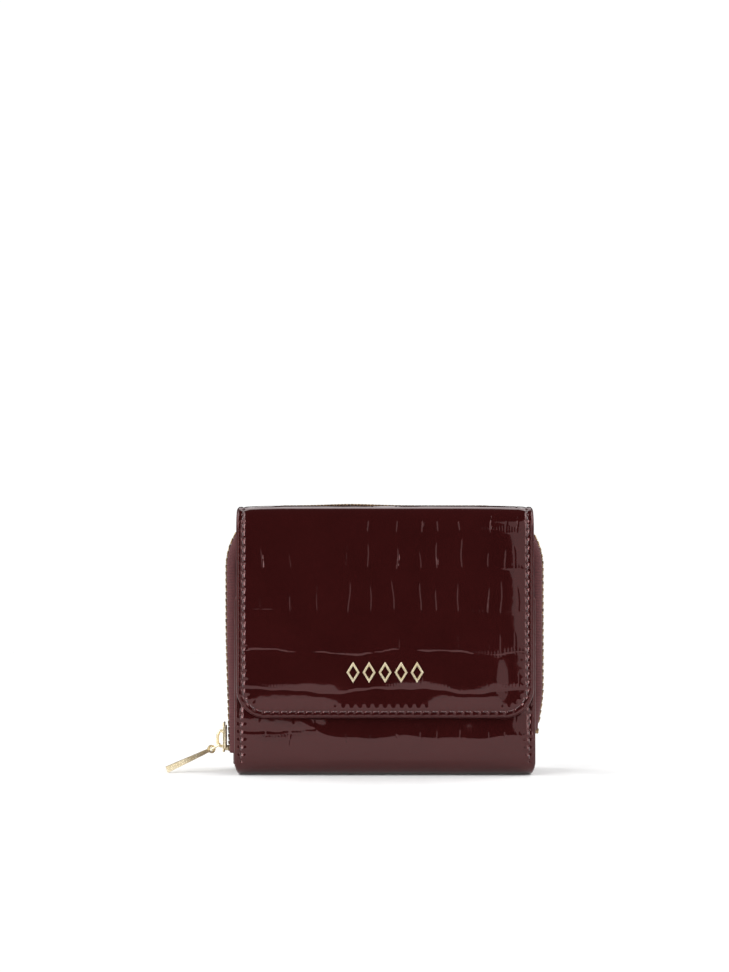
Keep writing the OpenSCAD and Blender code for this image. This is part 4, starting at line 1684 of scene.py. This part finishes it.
@dataclass
class Slider:
    """The zip's slider with its bail, and the puller that hangs from it.

    Attributes:
        finish: The finishes.
        wire: Half of the bail's thickness.
        draw: How far the slider is drawn in with the zip.
    """

    finish: Finishes
    wire: float = 0.5 * MM
    draw: float = 0.85 * MM
    body: Extent = field(default_factory=lambda: Extent.of("slider_body"))
    bail: Extent = field(default_factory=lambda: Extent.of("slider_bail"))

    def build(self) -> None:
        """Builds the slider with its bail, and finishes the link and the bar."""
        low, high, middle = self.body.low, self.body.high, self.middle
        left, right, plate = low.x + self.draw, high.x + self.draw, 0.8 * MM
        blocks = [
            ((left, low.y, low.z), (left + plate, high.y, high.z), 0.3 * MM),
            ((right - plate, low.y, low.z), (right, high.y, high.z), 0.3 * MM),
            ((left + 0.3 * MM, middle - 0.8 * MM, low.z + 0.4 * MM),
             (right - 0.3 * MM, middle + 0.8 * MM, low.z + 2.2 * MM), 0.3 * MM),
        ]
        lip, deep, short = 0.55 * MM, 1.25 * MM, 1.2 * MM
        blocks += [
            ((x, y, low.z + short), (x + deep, y + lip, high.z - short), 0.22 * MM)
            for y in (low.y, high.y - lip) for x in (left, right - deep)
        ]
        slider = join("zip_slider", [rounded_block("block", *block) for block in blocks])
        attach(slider.make(self.finish.gold), "slider", Slot.GOLD, "slider_body")
        attach(self._bail(left).make(self.finish.gold), "slider", Slot.GOLD, "slider_bail")
        for node, soft in (("puller_link", 0.0), ("puller_bar", 0.14)):
            dress(node, self.finish.gold, soft * MM)

    @property
    def middle(self) -> float:
        """Middle plane of the slider."""
        return (self.body.low.y + self.body.high.y) / 2

    def _bail(self, root: float) -> Piece:
        """Makes the bail, a wire bowed out from the slider's outer plate.

        Args:
            root: Where the outer plate starts.

        Returns:
            The bail.
        """
        cad, y = self.bail, self.middle
        out, low, high = cad.low.x + self.wire, cad.low.z + self.wire, cad.high.z + 0.3 * MM
        shape = ((root, high, 0.3, -0.6), (root, high, -0.7, -0.15), (out, high, 0.75, -0.3),
                 (out, high, 0.15, -1.6), (out, (low + high) / 2, 0, 0), (out, low, 0.12, 1.0),
                 (out, low, 0.7, 0.2), (root, low, -0.5, 0), (root, low, 0.3, 0.1))
        bow = np.array([(x + dx * MM, z + dz * MM) for x, z, dx, dz in shape])
        knots, fine = np.linspace(0, 1, len(bow)), np.linspace(0, 1, 41)
        path = np.stack([np.interp(fine, knots, bow[:, i]) for i in range(2)], 1)
        for _ in range(3):
            path[1:-1] = (path[:-2] + 2 * path[1:-1] + path[2:]) / 4
        way = headings(path)
        centres = np.column_stack([path[:, 0], np.full(41, y), path[:, 1]])
        across = np.column_stack([way[:, 1], np.zeros(41), -way[:, 0]])
        up = np.repeat(np.array([[0.0, 1.0, 0.0]]), 41, 0)
        turn = np.linspace(0, 2 * math.pi, 13)[:-1]
        section = np.stack([self.wire * 1.1 * np.cos(turn), self.wire * 1.5 * np.sin(turn)], 1)
        return swept("slider_bow", centres, across, up, section)


# ---- Inside ----


@dataclass
class Inside:
    """The pieces that show only when the wallet is open, and the snap."""

    finish: Finishes

    def build(self) -> None:
        """Gives every inner piece its finish and softly worn edges."""
        finish = self.finish
        leather = (("centre_lining", "centre_board"), ("card_pocket_1", "note_pocket"),
                   ("card_pocket_2", "card_pocket_1"), ("card_pocket_3", "card_pocket_2"),
                   ("front_panel_lining", "front_panel_stiffener"), ("panel_pocket_1", "front_panel_lining"),
                   ("panel_pocket_2", "panel_pocket_1"), ("pouch_front_wall", "centre_board"))
        cloth = (("note_pocket", "centre_lining"), ("bottom_spine_lining", "front_panel_croc"),
                 ("pouch_front_lining", "pouch_front_wall"), ("pouch_back_lining", "pouch_back_stiffener"),
                 ("gusset_left", "pouch_front_wall"), ("gusset_right", "pouch_front_wall"))
        board = ("flap_stiffener", "front_panel_stiffener", "pouch_back_stiffener")
        for node, under in leather:
            dress(node, finish.inside, 0.12 * MM)
            self._declare(node)
        for node, under in cloth:
            dress(node, finish.cloth, 0.08 * MM)
            self._declare(node)
        for node in board:
            dress(node, finish.board)
        dress("centre_board", finish.inside)
        for node in ("snap_case", "snap_stud"):
            dress(node, finish.gold, 0.12 * MM)
        for node in ("snap_case_washer", "snap_stud_washer"):
            dress(node, finish.steel)
        dress("snap_magnet", finish.magnet)

    def _declare(self, node: str) -> None:
        """Looks up a packed sheet's object and extent, and does nothing more with them."""
        made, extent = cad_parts[node], Extent.of(node)


# ---- Studio ----


@dataclass
class Studio:
    """A pale floor between soft boxes, and the camera in front of the flap."""

    camera_x: float = -7.2 * MM
    camera_z: float = 101.9 * MM
    distance: float = 826 * MM
    lens: float = 87.4
    floor_front: float = -0.2
    floor_back: float = 0.6
    floor_side: float = 0.7

    def build(self) -> None:
        """Builds the camera, the floor, the lights and the surroundings."""
        self._camera()
        self._floor()
        self._lights()
        self._surroundings()

    def _camera(self) -> None:
        """Sets the camera level, square to the flap."""
        data = bpy.data.cameras.new("camera")
        data.lens, data.sensor_width = self.lens, 36
        data.clip_start, data.clip_end = 0.05, 20
        camera = bpy.data.objects.new("camera", data)
        front = Extent.of("flap_leather").low.y
        camera.location = (self.camera_x, front - self.distance, self.camera_z)
        camera.rotation_euler = (math.pi / 2, 0, 0)
        bpy.context.scene.collection.objects.link(camera)
        bpy.context.scene.camera = camera

    def _floor(self) -> None:
        """Lays the floor, which ends a little in front of the wallet."""
        x, y0, y1 = self.floor_side, self.floor_front, self.floor_back
        points = np.array([(-x, y0, 0), (x, y0, 0), (x, y1, 0), (-x, y1, 0)], float)
        piece = Piece("floor", points - np.array([0, 0, 0.00002]), [(0, 1, 2, 3)], sharp=True)
        tree = Tree("floor_card")
        grain = tree.noise(tree.place(False), 60, 2)
        tree.set(Base_Color=tree.ramp(grain, (0.86, 0.86, 0.86), (0.89, 0.89, 0.89)), Roughness=0.9)
        piece.make(tree.material)

    def _lights(self) -> None:
        """Hangs the soft boxes: two big ones and two strips beside the wallet, a panel and one behind."""
        aim = Vector((0, 0, 0.05))
        boxes = (
            ("left_box", (-0.95, 0.0, 0.75), (1.3, 1.1), 3.6),
            ("right_box", (0.95, 0.0, 0.75), (1.3, 1.1), 3.6),
            ("right_panel", (0.55, -0.95, 0.25), (0.85, 1.2), 1.0),
            ("left_strip", (-0.66, -0.76, 0.3), (0.34, 0.8), 8.0),
            ("right_strip", (0.66, -0.7, 0.3), (0.34, 0.8), 3.0),
            ("rear_box", (0.1, 1.0, 1.15), (1.4, 0.7), 1.8),
        )
        for name, place, size, radiance in boxes:
            data = bpy.data.lights.new(name, "AREA")
            data.shape = "RECTANGLE"
            data.size, data.size_y = size
            data.energy = radiance * math.pi * size[0] * size[1]
            light = bpy.data.objects.new(name, data)
            light.location = place
            light.rotation_euler = (aim - Vector(place)).to_track_quat("-Z", "Y").to_euler()
            light.visible_camera = False
            bpy.context.scene.collection.objects.link(light)

    def _surroundings(self) -> None:
        """Shows white behind the wallet and lights it dimly from all round."""
        world = bpy.data.worlds.new("surroundings")
        bpy.context.scene.world = world
        world.use_nodes = True
        nodes, links = world.node_tree.nodes, world.node_tree.links
        nodes.clear()
        shown, dim = nodes.new("ShaderNodeBackground"), nodes.new("ShaderNodeBackground")
        shown.inputs["Color"].default_value = (1, 1, 1, 1)
        shown.inputs["Strength"].default_value = 1.05
        dim.inputs["Color"].default_value = (1, 0.98, 0.97, 1)
        dim.inputs["Strength"].default_value = 0.035
        path, mix = nodes.new("ShaderNodeLightPath"), nodes.new("ShaderNodeMixShader")
        out = nodes.new("ShaderNodeOutputWorld")
        links.new(path.outputs["Is Camera Ray"], mix.inputs["Fac"])
        links.new(dim.outputs["Background"], mix.inputs[1])
        links.new(shown.outputs["Background"], mix.inputs[2])
        links.new(mix.outputs["Shader"], out.inputs["Surface"])
        scene = bpy.context.scene
        scene.view_settings.view_transform = "Standard"
        scene.view_settings.look = "None"


def main() -> None:
    """Builds the studio and then the wallet, from the flap to the puller."""
    logging.basicConfig(level=logging.INFO, format="%(message)s")
    Studio().build()
    finish = Finishes.build()
    fold = TopFold()
    Flap(fold, finish).build()
    TopRear(fold, finish).build()
    FrontPanel(finish).build()
    PouchBack(finish).build()
    Zip(finish).build()
    Slider(finish).build()
    Inside(finish).build()


if __name__ == "__main__":
    main()
